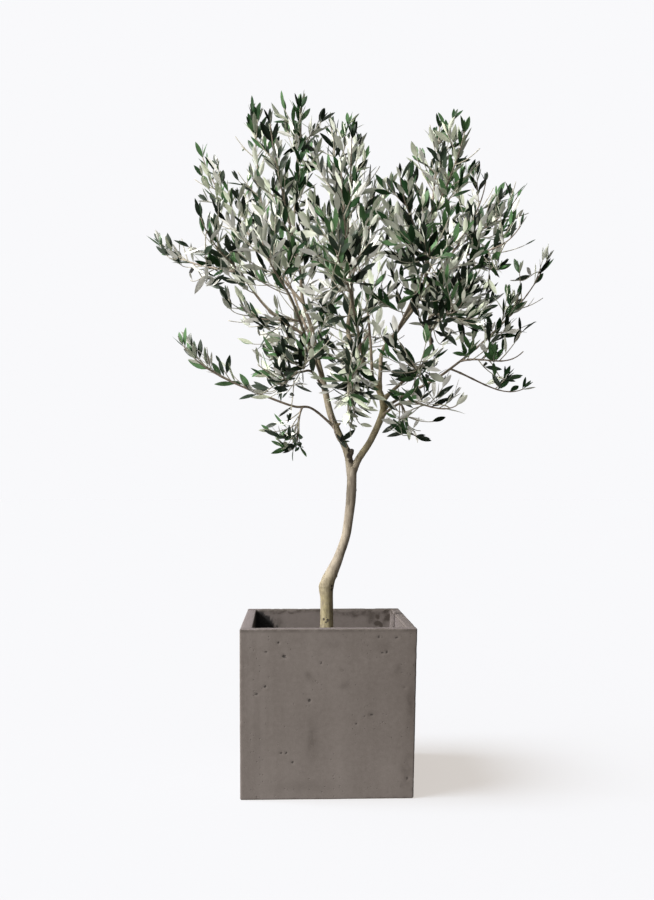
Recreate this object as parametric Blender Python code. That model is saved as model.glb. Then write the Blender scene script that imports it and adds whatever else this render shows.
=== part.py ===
# A young olive tree in a square cast planter, standing on the planter's underside.
# Metres, +Z up. The origin is the centre of that underside, and -Y is the side that faces a viewer.
#
# The trunk forks into two boughs. Limbs leave the boughs, and each mass of foliage grows from a limb:
# one stem, shoots that leave it by a seeded rule, and opposite pairs of leaves along all of them.
import math
import random

import bmesh
import bpy
import numpy as np
from mathutils.bvhtree import BVHTree

# Planter and soil
RIM_SIDE = 0.385
FOOT_SIDE = 0.376
PLANTER_HEIGHT = 0.370
WALL = 0.022
PLANTER_FLOOR = 0.026
EDGE_ROUND = 0.003
SOIL_TOP = 0.315
CLEAR = 0.0003

# Trunk and boughs: each bend is (x, y, z, radius)
TRUNK_BENDS = (
    (0.003, 0.000, SOIL_TOP + CLEAR, 0.0200),
    (0.003, 0.000, 0.335, 0.0165),
    (0.003, 0.000, 0.412, 0.0146),
    (0.002, 0.000, 0.446, 0.0180),
    (0.015, 0.000, 0.476, 0.0146),
    (0.033, 0.002, 0.518, 0.0114),
    (0.049, 0.004, 0.566, 0.0106),
    (0.056, 0.004, 0.609, 0.0108),
    (0.061, 0.002, 0.655, 0.0116),
    (0.062, 0.000, 0.700, 0.0115),
    (0.062, 0.000, 0.724, 0.0118),
)
BOUGHS = {
    "bough_left": (
        (0.060, 0.000, 0.706, 0.0100),
        (0.053, 0.000, 0.754, 0.0088),
        (0.037, 0.000, 0.794, 0.0080),
        (0.013, 0.005, 0.849, 0.0080),
        (-0.003, 0.010, 0.920, 0.0071),
        (-0.017, 0.015, 0.980, 0.0060),
        (-0.031, 0.020, 1.052, 0.0050),
        (-0.053, 0.020, 1.123, 0.0041),
        (-0.060, 0.010, 1.192, 0.0032),
        (-0.074, 0.000, 1.260, 0.0024),
    ),
    "bough_right": (
        (0.064, 0.000, 0.712, 0.0096),
        (0.078, 0.000, 0.744, 0.0082),
        (0.107, -0.005, 0.789, 0.0078),
        (0.133, -0.010, 0.848, 0.0080),
        (0.135, -0.012, 0.876, 0.0076),
        (0.125, -0.015, 0.906, 0.0070),
        (0.099, -0.020, 0.943, 0.0063),
        (0.069, -0.020, 0.999, 0.0058),
        (0.052, -0.020, 1.046, 0.0050),
        (0.062, -0.020, 1.128, 0.0040),
        (0.053, -0.010, 1.212, 0.0031),
        (0.049, 0.000, 1.309, 0.0024),
    ),
}
STUB_LENGTH = 0.075  # of each bough that is one solid with the trunk
SQUARE_END = 0.004
PRUNED_STUB = (
    (0.052, -0.002, 0.745, 0.0070),
    (0.059, -0.003, 0.757, 0.0055),
    (0.063, -0.004, 0.768, 0.0042),
)

# Limbs: name, parent, where it leaves the parent as a share of its length, radius at its foot, bends (x, y, z)
LIMBS = (
    ("limb_low_left", "bough_left", 0.20, 0.0030,
     ((-0.032, -0.015, 0.862), (-0.076, -0.030, 0.866), (-0.148, -0.050, 0.890))),
    ("limb_left_arm", "bough_left", 0.50, 0.0040,
     ((-0.053, 0.005, 1.038), (-0.107, 0.000, 1.072), (-0.152, 0.000, 1.116), (-0.199, 0.000, 1.182))),
    ("limb_left_rise", "bough_left", 0.74, 0.0035,
     ((-0.084, 0.035, 1.156), (-0.107, 0.040, 1.185), (-0.141, 0.050, 1.235))),
    ("limb_front_left", "bough_left", 0.42, 0.0036, ((-0.049, -0.090, 1.022), (-0.078, -0.200, 1.078))),
    ("limb_back_left", "bough_left", 0.56, 0.0036, ((-0.052, 0.100, 1.090), (-0.084, 0.200, 1.198))),
    ("limb_inner_left", "bough_left", 0.36, 0.0030, ((-0.032, -0.040, 0.944), (-0.060, -0.080, 0.939))),
    ("limb_low_right", "bough_right", 0.235, 0.0030, ((0.163, -0.040, 0.868), (0.193, -0.060, 0.876))),
    ("limb_right_low", "bough_right", 0.265, 0.0036,
     ((0.203, 0.020, 0.905), (0.266, 0.030, 0.938), (0.346, 0.040, 0.997))),
    ("limb_right_mid", "bough_right", 0.295, 0.0042,
     ((0.173, -0.030, 0.918), (0.216, -0.060, 0.952), (0.237, -0.080, 0.995), (0.231, -0.100, 1.060))),
    ("limb_right_rise", "bough_right", 0.330, 0.0050,
     ((0.130, 0.000, 0.950), (0.137, 0.010, 1.004), (0.173, 0.015, 1.052), (0.224, 0.020, 1.128),
      (0.246, 0.020, 1.221), (0.254, 0.010, 1.340))),
    ("limb_back_mid", "bough_right", 0.375, 0.0038, ((0.113, 0.100, 1.055), (0.110, 0.220, 1.204))),
    ("limb_front_mid", "bough_right", 0.430, 0.0038, ((0.069, -0.120, 1.028), (0.045, -0.220, 1.096))),
    ("limb_front_right", "limb_right_rise", 0.34, 0.0032, ((0.193, -0.100, 1.100), (0.209, -0.200, 1.149))),
    ("limb_back_right", "limb_right_rise", 0.40, 0.0032, ((0.230, 0.100, 1.154), (0.281, 0.200, 1.253))),
    ("limb_right_far", "limb_right_rise", 0.53, 0.0034, ((0.276, 0.030, 1.200), (0.329, 0.030, 1.272))),
)
LIMB_TIP_RADIUS = 0.0026
TIP_SEAT = 0.0008  # how far a stem at a limb's tip starts inside it, before it is cut clear
COLLAR = 0.35  # how much a limb swells where it leaves its parent
COLLAR_LENGTH = 0.012

# Foliage: name, limb, where its stem leaves the limb, furthest leaf tip (x, y, z), spread to each side,
# and dip, which turns the stem down (minus) or up where it starts
FOLIAGE = (
    ("foliage_low_left", "limb_low_left", 1.00, (-0.340, -0.120, 1.020), 0.060, -0.20),
    ("foliage_hanging", "limb_low_left", 0.50, (-0.097, -0.080, 0.748), 0.060, -0.30),
    ("foliage_left_reach", "limb_left_arm", 1.00, (-0.418, 0.100, 1.300), 0.065, -0.45),
    ("foliage_left_shoulder", "limb_left_arm", 0.90, (-0.280, -0.240, 1.273), 0.095, 0.00),
    ("foliage_left_crest", "limb_left_rise", 1.00, (-0.313, 0.140, 1.535), 0.095, -0.20),
    ("foliage_top_left", "limb_left_rise", 0.80, (-0.177, 0.100, 1.632), 0.090, 0.00),
    ("foliage_top_left_inner", "bough_left", 0.86, (-0.128, -0.260, 1.469), 0.095, 0.00),
    ("foliage_summit", "bough_left", 1.00, (-0.055, -0.020, 1.606), 0.095, 0.00),
    ("foliage_top_mid", "bough_right", 1.00, (0.017, 0.160, 1.618), 0.095, -0.20),
    ("foliage_top_mid_right", "bough_right", 0.88, (0.049, -0.240, 1.451), 0.095, 0.00),
    ("foliage_saddle", "bough_right", 0.76, (0.157, 0.200, 1.470), 0.095, -0.20),
    ("foliage_right_crown", "limb_right_rise", 0.72, (0.139, -0.300, 1.340), 0.100, 0.00),
    ("foliage_right_peak", "limb_right_rise", 1.00, (0.290, 0.120, 1.608), 0.085, 0.00),
    ("foliage_right_peak_outer", "limb_right_rise", 0.90, (0.304, -0.190, 1.485), 0.085, 0.00),
    ("foliage_right_shoulder_high", "limb_right_far", 1.00, (0.422, 0.180, 1.490), 0.090, 0.00),
    ("foliage_right_shoulder", "limb_right_far", 0.84, (0.486, 0.060, 1.415), 0.085, -0.10),
    ("foliage_right_mid", "limb_right_far", 0.60, (0.420, -0.260, 1.252), 0.095, -0.10),
    ("foliage_right_reach", "limb_right_low", 1.00, (0.566, 0.100, 1.272), 0.080, -0.20),
    ("foliage_right_low", "limb_right_low", 0.90, (0.459, -0.140, 1.002), 0.085, -0.10),
    ("foliage_right_droop", "limb_right_low", 0.78, (0.523, 0.100, 0.938), 0.060, -0.45),
    ("foliage_low_right_curve", "limb_low_right", 1.00, (0.317, -0.140, 0.880), 0.060, -0.40),
    ("foliage_low_right_hang", "limb_low_right", 0.70, (0.242, -0.040, 0.788), 0.060, -0.20),
    ("foliage_left_inner", "limb_inner_left", 1.00, (-0.137, -0.120, 0.925), 0.085, 0.10),
    ("foliage_left_droop", "limb_front_left", 0.70, (-0.195, -0.180, 1.077), 0.075, -0.10),
    ("foliage_inner_hang", "bough_left", 0.28, (0.046, -0.090, 0.781), 0.050, -0.30),
    ("foliage_front_left", "limb_front_left", 1.00, (-0.145, -0.360, 1.194), 0.105, -0.10),
    ("foliage_front_mid", "limb_front_mid", 1.00, (-0.005, -0.420, 1.197), 0.105, -0.10),
    ("foliage_front_right", "limb_front_right", 1.00, (0.184, -0.380, 1.191), 0.105, -0.10),
    ("foliage_front_high", "limb_front_mid", 0.80, (0.020, -0.320, 1.350), 0.100, 0.00),
    ("foliage_front_right_low", "limb_right_mid", 1.00, (0.284, -0.300, 1.080), 0.100, -0.20),
    ("foliage_mid_right", "limb_right_mid", 0.86, (0.320, -0.110, 1.150), 0.095, 0.00),
    ("foliage_back_left", "limb_back_left", 1.00, (-0.180, 0.360, 1.424), 0.105, -0.10),
    ("foliage_back_left_low", "limb_back_left", 0.55, (-0.130, 0.290, 1.030), 0.100, -0.25),
    ("foliage_back_mid", "limb_back_mid", 1.00, (0.022, 0.340, 1.500), 0.110, -0.10),
    ("foliage_back_low", "limb_back_mid", 0.50, (0.060, 0.360, 1.040), 0.105, -0.25),
    ("foliage_back_right", "limb_back_right", 1.00, (0.298, 0.370, 1.445), 0.105, -0.10),
    ("foliage_back_right_low", "limb_back_right", 0.60, (0.440, 0.300, 1.144), 0.100, -0.20),
    ("foliage_under_left", "limb_front_left", 0.38, (-0.060, -0.230, 0.945), 0.090, -0.30),
    ("foliage_under_mid", "limb_front_mid", 0.32, (0.030, -0.200, 0.905), 0.090, -0.35),
    ("foliage_under_right", "limb_right_mid", 0.52, (0.175, -0.240, 0.960), 0.090, -0.30),
)

# The rule that foliage grows by
TURN_TO_LIGHT = 0.60  # how far a stem or shoot bends up by its tip
END_LEAF_REACH = 0.034  # from a stem's end to its furthest leaf tip
STEM_RADIUS = (0.0032, 0.0021)  # at its foot and at its tip
SHOOT_RADIUS = (0.0019, 0.0017)
SHOOTS = 9  # places along a stem where a shoot may leave it
SHOOT_EVERY = 3  # the solids carry one shoot in three
SHOOT_SPAN = (0.10, 0.78)  # the stretch of the stem that carries them
SHOOT_OPENING = math.radians(46)
SHOOT_TURN = math.radians(137.5)
SHOOT_LENGTH = 1.25  # of the mass's spread, at the stem's foot
SHOOT_TAPER = 0.50
LEAF_LENGTH = 0.080
LEAF_WIDTH = 0.0250
LEAF_KEEL = 0.0015  # how far the keel stands below the blade at the root, where it is deepest
LEAF_SPACING = 0.072  # between pairs
LEAF_OPENING = (math.radians(56), math.radians(32))  # at a shoot's foot and at its tip
LEAF_TO_LIGHT = 0.35
LEAF_TIP_SIZE = 0.66  # a leaf at the tip against one at the foot
LEAF_ROOT_WIDTH = 0.0012
LEAF_END = 0.0075  # from the last pair to the shoot's end
LEAF_STAGGER = 0.002  # how far the two of a pair may stand from level
LEAF_STALK = 0.006  # how near its root a leaf may touch the shoot's other parts
LEAF_ROOM = 0.048  # how far leaves stand out beyond the spread
TEST_MARGIN = 0.0012
WOOD_STEP = 0.036
TWIG_STEP = 0.080
TWIG_SIDES = 3
BOUGH_SIDES = 8
LIMB_SIDES = 5

UP = np.array([0.0, 0.0, 1.0])


def unit(vector):
    return vector / np.linalg.norm(vector)


# Materials
def make_material(name, colour, roughness):
    material = bpy.data.materials.new(name)
    material.use_nodes = True
    shader = material.node_tree.nodes["Principled BSDF"]
    shader.inputs["Base Color"].default_value = (*colour, 1.0)
    shader.inputs["Roughness"].default_value = roughness
    shader.inputs["Metallic"].default_value = 0.0
    material.diffuse_color = (*colour, 1.0)
    return material


# Curves: a path is an array with one row (x, y, z, radius) for each of its points
def smooth_path(bends, step):
    """The smooth curve through the bends (Catmull-Rom), in rows about a step apart."""
    knots = np.array(bends, float)
    knots = np.vstack([2 * knots[0] - knots[1], knots, 2 * knots[-1] - knots[-2]])
    t = np.linspace(0, 1, 10, endpoint=False)[:, None]
    rows = []
    for a, b, c, d in zip(knots, knots[1:], knots[2:], knots[3:]):
        bend, turn = 2 * a - 5 * b + 4 * c - d, 3 * b - 3 * c + d - a
        rows.append(0.5 * (2 * b + (c - a) * t + bend * t**2 + turn * t**3))
    rows.append(knots[-2:-1])
    return resample(np.vstack(rows), step)


def bezier_path(start, start_way, end, end_way, radii):
    """A stem's or shoot's curve: it leaves start along start_way and reaches end along end_way."""
    handle = np.linalg.norm(end - start) / 3
    t = np.linspace(0, 1, 30)[:, None]
    points = (
        (1 - t) ** 3 * start
        + 3 * t * (1 - t) ** 2 * (start + start_way * handle)
        + 3 * t**2 * (1 - t) * (end - end_way * handle)
        + t**3 * end
    )
    return np.hstack([points, radii[0] + (radii[1] - radii[0]) * t])


def lengths_along(path):
    return np.concatenate([[0.0], np.cumsum(np.linalg.norm(np.diff(path[:, :3], axis=0), axis=1))])


def resample(path, step, start=0.0, end=None):
    """The rows of a path about a step apart, between two distances along it."""
    along = lengths_along(path)
    end = along[-1] if end is None else end
    count = max(2, round((end - start) / step) + 1)
    wanted = np.linspace(start, end, count)
    return np.column_stack([np.interp(wanted, along, path[:, i]) for i in range(4)])


def stretch(path, step, start, end):
    """The rows of a path between two distances, with one just inside each end so that its ends are square."""
    inner = resample(path, step, start + SQUARE_END, end - SQUARE_END)
    ends = resample(path, end - start, start, end)
    return np.vstack([ends[:1], inner, ends[-1:]])


def place_on(path, share):
    """The point, direction and radius at a share of a path's length."""
    along = lengths_along(path)
    row = [np.interp(share * along[-1], along, path[:, i]) for i in range(4)]
    index = min(len(path) - 2, int(np.searchsorted(along, share * along[-1], side="right")) - 1)
    return np.array(row[:3]), unit(path[index + 1, :3] - path[index, :3]), row[3]


# Solids
def ring_frames(path, twig):
    """Two directions across the path at each row, set by the axis that the path runs least along.
    A twig's are the same all along, so that its facets are flat."""
    chord = path[-1, :3] - path[0, :3]
    tangents = np.gradient(path[:, :3], axis=0)
    if twig:
        tangents[:] = chord
    across = np.cross(tangents, np.eye(3)[np.argmin(np.abs(chord))])
    across /= np.linalg.norm(across, axis=1)[:, None]
    other = np.cross(tangents / np.linalg.norm(tangents, axis=1)[:, None], across)
    return zip(across, other)


def tube(path, sides):
    """Points and faces of a closed tube with a flat cap at each end."""
    angles = np.linspace(0, 2 * math.pi, sides, endpoint=False)[:, None]
    rings = [
        row[:3] + row[3] * (np.cos(angles) * across + np.sin(angles) * other)
        for row, (across, other) in zip(path, ring_frames(path, sides == TWIG_SIDES))
    ]
    faces = [
        (i * sides + j, i * sides + (j + 1) % sides, (i + 1) * sides + (j + 1) % sides, (i + 1) * sides + j)
        for i in range(len(path) - 1)
        for j in range(sides)
    ]
    last = (len(path) - 1) * sides
    faces += [tuple(range(sides - 1, -1, -1)), tuple(range(last, last + sides))]
    return np.vstack(rings), faces


def leaf(root, way, upper_side, size, grow=0.0, start=0.001):
    """Points and faces of a leaf of eight faces: flat above, with a keel below, its root sunk in the twig.
    Grown by a margin, it is the room that the leaf needs."""
    across = np.cross(way, upper_side)
    length, half = LEAF_LENGTH * size + grow, LEAF_WIDTH * size / 2 + grow
    root_half, keel = LEAF_ROOT_WIDTH / 2 + grow, LEAF_KEEL + 2 * grow
    blade = root + upper_side * (LEAF_KEEL / 3 + grow)
    points = np.array([
        blade + way * start + across * root_half,
        blade + way * start - across * root_half,
        blade + way * start - upper_side * keel,
        blade + way * length * 0.46 + across * half,
        blade + way * length * 0.46 - across * half,
        blade + way * length - upper_side * grow,
    ])
    return points, [(0, 3, 4, 1), (3, 5, 4), (0, 2, 3), (1, 4, 2), (3, 2, 5), (4, 5, 2), (0, 1, 2)]


def make_object(name, points, faces, material=None):
    mesh = bpy.data.meshes.new(name)
    mesh.from_pydata([tuple(p) for p in points], [], faces)
    if material:
        mesh.materials.append(material)
    made = bpy.data.objects.new(name, mesh)
    bpy.context.scene.collection.objects.link(made)
    return made


def is_closed(mesh):
    shape = bmesh.new()
    shape.from_mesh(mesh)
    closed = len(shape.faces) > 0 and all(edge.is_manifold for edge in shape.edges)
    shape.free()
    return closed


def apply_boolean(target, operation, operand=None, collection=None):
    """Joins or cuts the target, keeps the result as its mesh, and removes what it was joined or cut with.
    Where the exact solver leaves an open edge, the manifold one does it."""
    modifier = target.modifiers.new("shape", "BOOLEAN")
    modifier.operation = operation
    if collection:
        modifier.operand_type = "COLLECTION"
        modifier.collection = collection
    else:
        modifier.object = operand
    for solver in ("EXACT", "MANIFOLD"):
        modifier.solver = solver
        bpy.context.view_layer.update()
        evaluated = target.evaluated_get(bpy.context.evaluated_depsgraph_get())
        result = bpy.data.meshes.new_from_object(evaluated)
        if is_closed(result):
            break
    target.modifiers.clear()
    target.data = result
    used = list(collection.objects) if collection else [operand]
    for each in used:
        bpy.data.objects.remove(each)
    if collection:
        bpy.data.collections.remove(collection)


def keep_one_body(target):
    """Drops loose scraps and sealed hollows: all that isn't joined to the longest body."""
    shape = bmesh.new()
    shape.from_mesh(target.data)
    unseen, bodies = set(shape.verts), []
    while unseen:
        body, edge_of_it = set(), [unseen.pop()]
        while edge_of_it:
            vertex = edge_of_it.pop()
            body.add(vertex)
            near = {e.other_vert(vertex) for e in vertex.link_edges} & unseen
            unseen -= near
            edge_of_it += near
        bodies.append(body)
    bodies.sort(key=lambda body: np.linalg.norm(np.ptp([tuple(v.co) for v in body], axis=0)))
    for body in bodies[:-1]:
        bmesh.ops.delete(shape, geom=list(body), context="VERTS")
    shape.to_mesh(target.data)
    shape.free()


def grown(path, by):
    """A path whose tube is thicker by a clearance all round and at its tip."""
    wider = path.copy()
    wider[:, 3] += by
    wider[-1, :3] += unit(path[-1, :3] - path[-2, :3]) * by
    return wider


def sides_of(name):
    return BOUGH_SIDES if name in BOUGHS else LIMB_SIDES


def seat_on(target, parent, parent_path):
    """Cuts the foot of a limb or stem to its parent's round, a clearance off it."""
    sides = sides_of(parent)
    cutter = make_object("cutter", *tube(grown(parent_path, CLEAR / math.cos(math.pi / sides)), sides))
    apply_boolean(target, "DIFFERENCE", operand=cutter)
    keep_one_body(target)


def finish_wood(target):
    target.data.shade_smooth()
    target.data.set_sharp_from_angle(angle=math.radians(50))


# Planter and soil
def make_planter(material):
    """A square tub with a little draft, open above, its edges rounded."""
    shape = bmesh.new()

    def ring(side, height):
        square = ((-1, -1), (1, -1), (1, 1), (-1, 1))
        return [shape.verts.new((x * side / 2, y * side / 2, height)) for x, y in square]

    outer_foot = ring(FOOT_SIDE, 0.0)
    outer_rim = ring(RIM_SIDE, PLANTER_HEIGHT)
    inner_rim = ring(RIM_SIDE - 2 * WALL, PLANTER_HEIGHT)
    inner_foot = ring(inner_side_at(PLANTER_FLOOR), PLANTER_FLOOR)
    shape.faces.new(outer_foot[::-1])
    shape.faces.new(inner_foot)
    for lower, upper in ((outer_foot, outer_rim), (outer_rim, inner_rim), (inner_rim, inner_foot)):
        for i in range(4):
            j = (i + 1) % 4
            shape.faces.new((lower[i], lower[j], upper[j], upper[i]))
    rounded = [e for e in shape.edges if not (e.verts[0] in inner_foot and e.verts[1] in inner_foot)]
    bmesh.ops.bevel(shape, geom=rounded, offset=EDGE_ROUND, segments=2, profile=0.5, affect="EDGES")
    bmesh.ops.recalc_face_normals(shape, faces=shape.faces)
    mesh = bpy.data.meshes.new("planter")
    shape.to_mesh(mesh)
    shape.free()
    mesh.materials.append(material)
    planter = bpy.data.objects.new("planter", mesh)
    bpy.context.scene.collection.objects.link(planter)
    planter.data.shade_smooth()
    planter.data.set_sharp_from_angle(angle=math.radians(40))
    return planter


def inner_side_at(height):
    """How wide the inside of the planter is at a height: its walls keep their thickness."""
    return FOOT_SIDE + (RIM_SIDE - FOOT_SIDE) * height / PLANTER_HEIGHT - 2 * WALL


def make_soil(material):
    """The filling, a clearance from walls and floor. Its corners stay clear of the tub's rounded ones."""
    low, high = PLANTER_FLOOR + CLEAR, SOIL_TOP
    points = []
    for height in (low, high):
        half = inner_side_at(height) / 2 - CLEAR
        cut = 1.6 * EDGE_ROUND
        corner = [(half, -half + cut), (half, half - cut), (half - cut, half), (-half + cut, half)]
        corner += [(-x, -y) for x, y in corner]
        points += [(x, y, height) for x, y in corner]
    faces = [(i, (i + 1) % 8, 8 + (i + 1) % 8, 8 + i) for i in range(8)]
    faces += [tuple(range(7, -1, -1)), tuple(range(8, 16))]
    return make_object("potting_soil", points, faces, material)


# Trunk, boughs and limbs
def bough_path(bends):
    """A bough's path from inside the fork, in two stretches: one solid with the trunk, and its own."""
    path = smooth_path(bends, 0.010)
    stub = stretch(path, 0.020, 0.0, STUB_LENGTH)
    return stub, stretch(path, WOOD_STEP, STUB_LENGTH + CLEAR, lengths_along(path)[-1])


def make_trunk(material, stub_paths):
    """The shaft from its flat foot to the fork, with the first stretch of each bough and a pruned stub."""
    trunk = make_object("trunk", *tube(smooth_path(TRUNK_BENDS, 0.022), 10), material)
    joined = bpy.data.collections.new("fork")
    bpy.context.scene.collection.children.link(joined)
    for path in stub_paths + [smooth_path(PRUNED_STUB, 0.008)]:
        stub = make_object("stub", *tube(path, 8))
        bpy.context.scene.collection.objects.unlink(stub)
        joined.objects.link(stub)
    apply_boolean(trunk, "UNION", collection=joined)
    keep_one_body(trunk)
    finish_wood(trunk)
    return trunk


def limb_path(parent_path, share, foot_radius, bends):
    """A limb's path from its parent's middle, tapering to its tip, with a collar where it leaves."""
    start, _, parent_radius = place_on(parent_path, share)
    path = smooth_path([(*start, 0.0)] + [(*bend, 0.0) for bend in bends], WOOD_STEP)
    along = lengths_along(path)
    path[:, 3] = foot_radius + (LIMB_TIP_RADIUS - foot_radius) * along / along[-1]
    path[:, 3] *= 1 + COLLAR * np.exp(-np.maximum(along - parent_radius, 0) / COLLAR_LENGTH)
    return path


# Foliage
def stem_path(limb, share, reach, dip):
    """A stem's path from its limb out to where its last leaves begin."""
    start, limb_way, _ = place_on(limb, share)
    start = start - limb_way * (TIP_SEAT if share == 1.0 else 0.0)
    chord = unit(np.array(reach) - start)
    end_way = unit(chord + UP * TURN_TO_LIGHT)
    end = np.array(reach) - end_way * END_LEAF_REACH
    return bezier_path(start, unit(chord + limb_way * 0.35 + UP * dip), end, end_way, STEM_RADIUS)


def shoot_path(stem, place, spread, chance):
    """The path of the shoot at one of a stem's places, which turn round the stem as they climb it."""
    share = SHOOT_SPAN[0] + (SHOOT_SPAN[1] - SHOOT_SPAN[0]) * place / (SHOOTS - 1)
    start, way, _ = place_on(stem, share)
    across = unit(np.cross(way, UP + 0.01))
    other = np.cross(across, way)
    turn = place * SHOOT_TURN + chance.uniform(-0.4, 0.4)
    side = math.cos(turn) * across + math.sin(turn) * other
    leaves_along = math.cos(SHOOT_OPENING) * way + math.sin(SHOOT_OPENING) * side
    length = spread * SHOOT_LENGTH * (1 - SHOOT_TAPER * share) * chance.uniform(0.85, 1.15)
    end_way = unit(leaves_along + UP * TURN_TO_LIGHT)
    end = start + unit(leaves_along + end_way) * length
    return bezier_path(start, leaves_along, end, end_way, SHOOT_RADIUS)


def leaf_places(path, spacing, chance):
    """Root, direction, upper side and size of each leaf on a stem or shoot: opposite pairs, each a
    quarter turn from the last, closing towards the tip, with their upper sides to the tip and the light."""
    length = lengths_along(path)[-1]
    pairs = max(1, round(length / spacing))
    first_turn = chance.uniform(0, math.pi)
    for pair in range(pairs):
        share = (pair + 1) / pairs
        opening = LEAF_OPENING[0] + (LEAF_OPENING[1] - LEAF_OPENING[0]) * share
        for side in (0, 1):
            root, way, _ = place_on(path, share - (LEAF_END + chance.uniform(0, LEAF_STAGGER)) / length)
            across = unit(np.cross(way, UP + 0.01))
            other = np.cross(across, way)
            turn = first_turn + (pair / 2 + side) * math.pi + chance.uniform(-0.25, 0.25)
            out = math.cos(turn) * across + math.sin(turn) * other
            leaf_way = unit(math.cos(opening) * way + math.sin(opening) * out + UP * LEAF_TO_LIGHT)
            facing = way + UP * 0.3
            upper_side = unit(facing - leaf_way * (facing @ leaf_way))
            size = 1 + (LEAF_TIP_SIZE - 1) * share**2
            yield root, leaf_way, upper_side, size * chance.uniform(0.9, 1.05)


class Taken:
    """The room that wood and leaves already fill. Each shape in it has an owner: a node, and the number
    of a shoot in it."""

    def __init__(self):
        self.owners, self.lows, self.highs, self.trees = [], [], [], []

    def add(self, owner, points, faces):
        self.owners.append(owner)
        self.lows.append(points.min(0))
        self.highs.append(points.max(0))
        self.trees.append(BVHTree.FromPolygons([tuple(p) for p in points], faces))

    def hits(self, points, faces, but):
        """Whether a shape touches any other, apart from some nodes' or some shoots'."""
        low, high = points.min(0), points.max(0)
        near = np.all((np.array(self.lows) < high) & (np.array(self.highs) > low), axis=1)
        tree = BVHTree.FromPolygons([tuple(p) for p in points], faces)
        return any(
            self.trees[i].overlap(tree)
            for i in np.flatnonzero(near)
            if self.owners[i] not in but and self.owners[i][0] not in but
        )


def far_from(path, points):
    """How far the furthest of some points lies from a path."""
    gaps = np.linalg.norm(points[:, None, :] - path[None, :, :3], axis=2)
    return gaps.min(axis=1).max()


def grow_shoots(name, stem, spread, taken):
    """A mass's shoots, without those that would touch another's wood."""
    for place in range(0, SHOOTS, SHOOT_EVERY):
        path = resample(shoot_path(stem, place, spread, random.Random(f"{name} shoot {place}")), TWIG_STEP)
        if not taken.hits(*tube(grown(path, TEST_MARGIN), TWIG_SIDES), but=(name,)):
            taken.add((name, place + 1), *tube(path, TWIG_SIDES))
            yield place + 1, path


def grow_leaves(name, stem, paths, spread, taken):
    """A mass's leaves, without those that would leave its space or touch wood or another leaf."""
    middle_line = resample(stem, 0.01)
    for number, path in paths:
        chance = random.Random(f"{name} leaves {number}")
        for root, way, upper_side, size in leaf_places(path, LEAF_SPACING, chance):
            room = leaf(root, way, upper_side, size, grow=TEST_MARGIN)
            outer_room = leaf(root, way, upper_side, size, grow=TEST_MARGIN, start=LEAF_STALK)
            if far_from(middle_line, room[0]) > spread + LEAF_ROOM:
                continue
            if not taken.hits(*room, but=(name,)) and not taken.hits(*outer_room, but=((name, number),)):
                solid = leaf(root, way, upper_side, size)
                taken.add((name, "leaf"), *solid)
                yield number, solid


def make_mass(name, stem, limb, limb_line, shoots, leaves, material):
    """One solid of stem, leaves and the shoots that carry some, the stem's foot cut clear of its limb."""
    mass = make_object(name, *tube(stem, TWIG_SIDES), material)
    seat_on(mass, limb, limb_line)
    joined = bpy.data.collections.new(name)
    bpy.context.scene.collection.children.link(joined)
    leafy = {number for number, _ in leaves}
    twigs = [tube(path, TWIG_SIDES) for number, path in shoots if number in leafy]
    for points, faces in twigs + [solid for _, solid in leaves]:
        part = make_object("sprig", points, faces)
        bpy.context.scene.collection.objects.unlink(part)
        joined.objects.link(part)
    apply_boolean(mass, "UNION", collection=joined)
    keep_one_body(mass)
    return mass


def build():
    for old in list(bpy.data.objects):
        bpy.data.objects.remove(old)
    concrete = make_material("cast_clay", (0.165, 0.145, 0.130), 0.85)
    earth = make_material("potting_soil", (0.050, 0.035, 0.025), 0.95)
    bark = make_material("olive_bark", (0.300, 0.245, 0.160), 0.80)
    green = make_material("olive_leaf", (0.110, 0.160, 0.085), 0.50)
    make_planter(concrete)
    make_soil(earth)

    stretches = {name: bough_path(bends) for name, bends in BOUGHS.items()}
    wood = [make_trunk(bark, [stub for stub, _ in stretches.values()])]
    for name, (_, own) in stretches.items():
        wood.append(make_object(name, *tube(own, BOUGH_SIDES), bark))
        finish_wood(wood[-1])
    paths = {name: np.vstack(parts) for name, parts in stretches.items()}
    for name, parent, share, foot_radius, bends in LIMBS:
        paths[name] = limb_path(paths[parent], share, foot_radius, bends)
        wood.append(make_object(name, *tube(paths[name], LIMB_SIDES), bark))
        seat_on(wood[-1], parent, paths[parent])
        finish_wood(wood[-1])

    taken = Taken()
    for piece in wood:
        points = np.array([tuple(v.co) for v in piece.data.vertices])
        taken.add((piece.name, 0), points, [tuple(p.vertices) for p in piece.data.polygons])
    stems = {}
    for name, limb, share, reach, spread, dip in FOLIAGE:
        stems[name] = resample(stem_path(paths[limb], share, reach, dip), TWIG_STEP)
        solid = tube(stems[name], TWIG_SIDES)
        if taken.hits(*solid, but=(limb,)):
            print(name, "has a stem that touches other wood")
        taken.add((name, 0), *solid)
    shoots = {name: list(grow_shoots(name, stems[name], spread, taken)) for name, *_, spread, _ in FOLIAGE}
    count = 0
    for name, limb, share, reach, spread, dip in FOLIAGE:
        leaves = list(grow_leaves(name, stems[name], [(0, stems[name])] + shoots[name], spread, taken))
        count += len(leaves)
        make_mass(name, stems[name], limb, paths[limb], shoots[name], leaves, green)
    print("leaves:", count)


build()
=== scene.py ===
# %% [markdown]
# A young olive tree in a square cast planter, dressed for a studio picture.
# The solid model of the tree and its planter is loaded first and stays where it is, because it is what
# stands, weighs and collides. Everything below is made round it, in metres, with +Z up, the origin under
# the middle of the planter, and -Y towards the camera.

import math
import random

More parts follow.
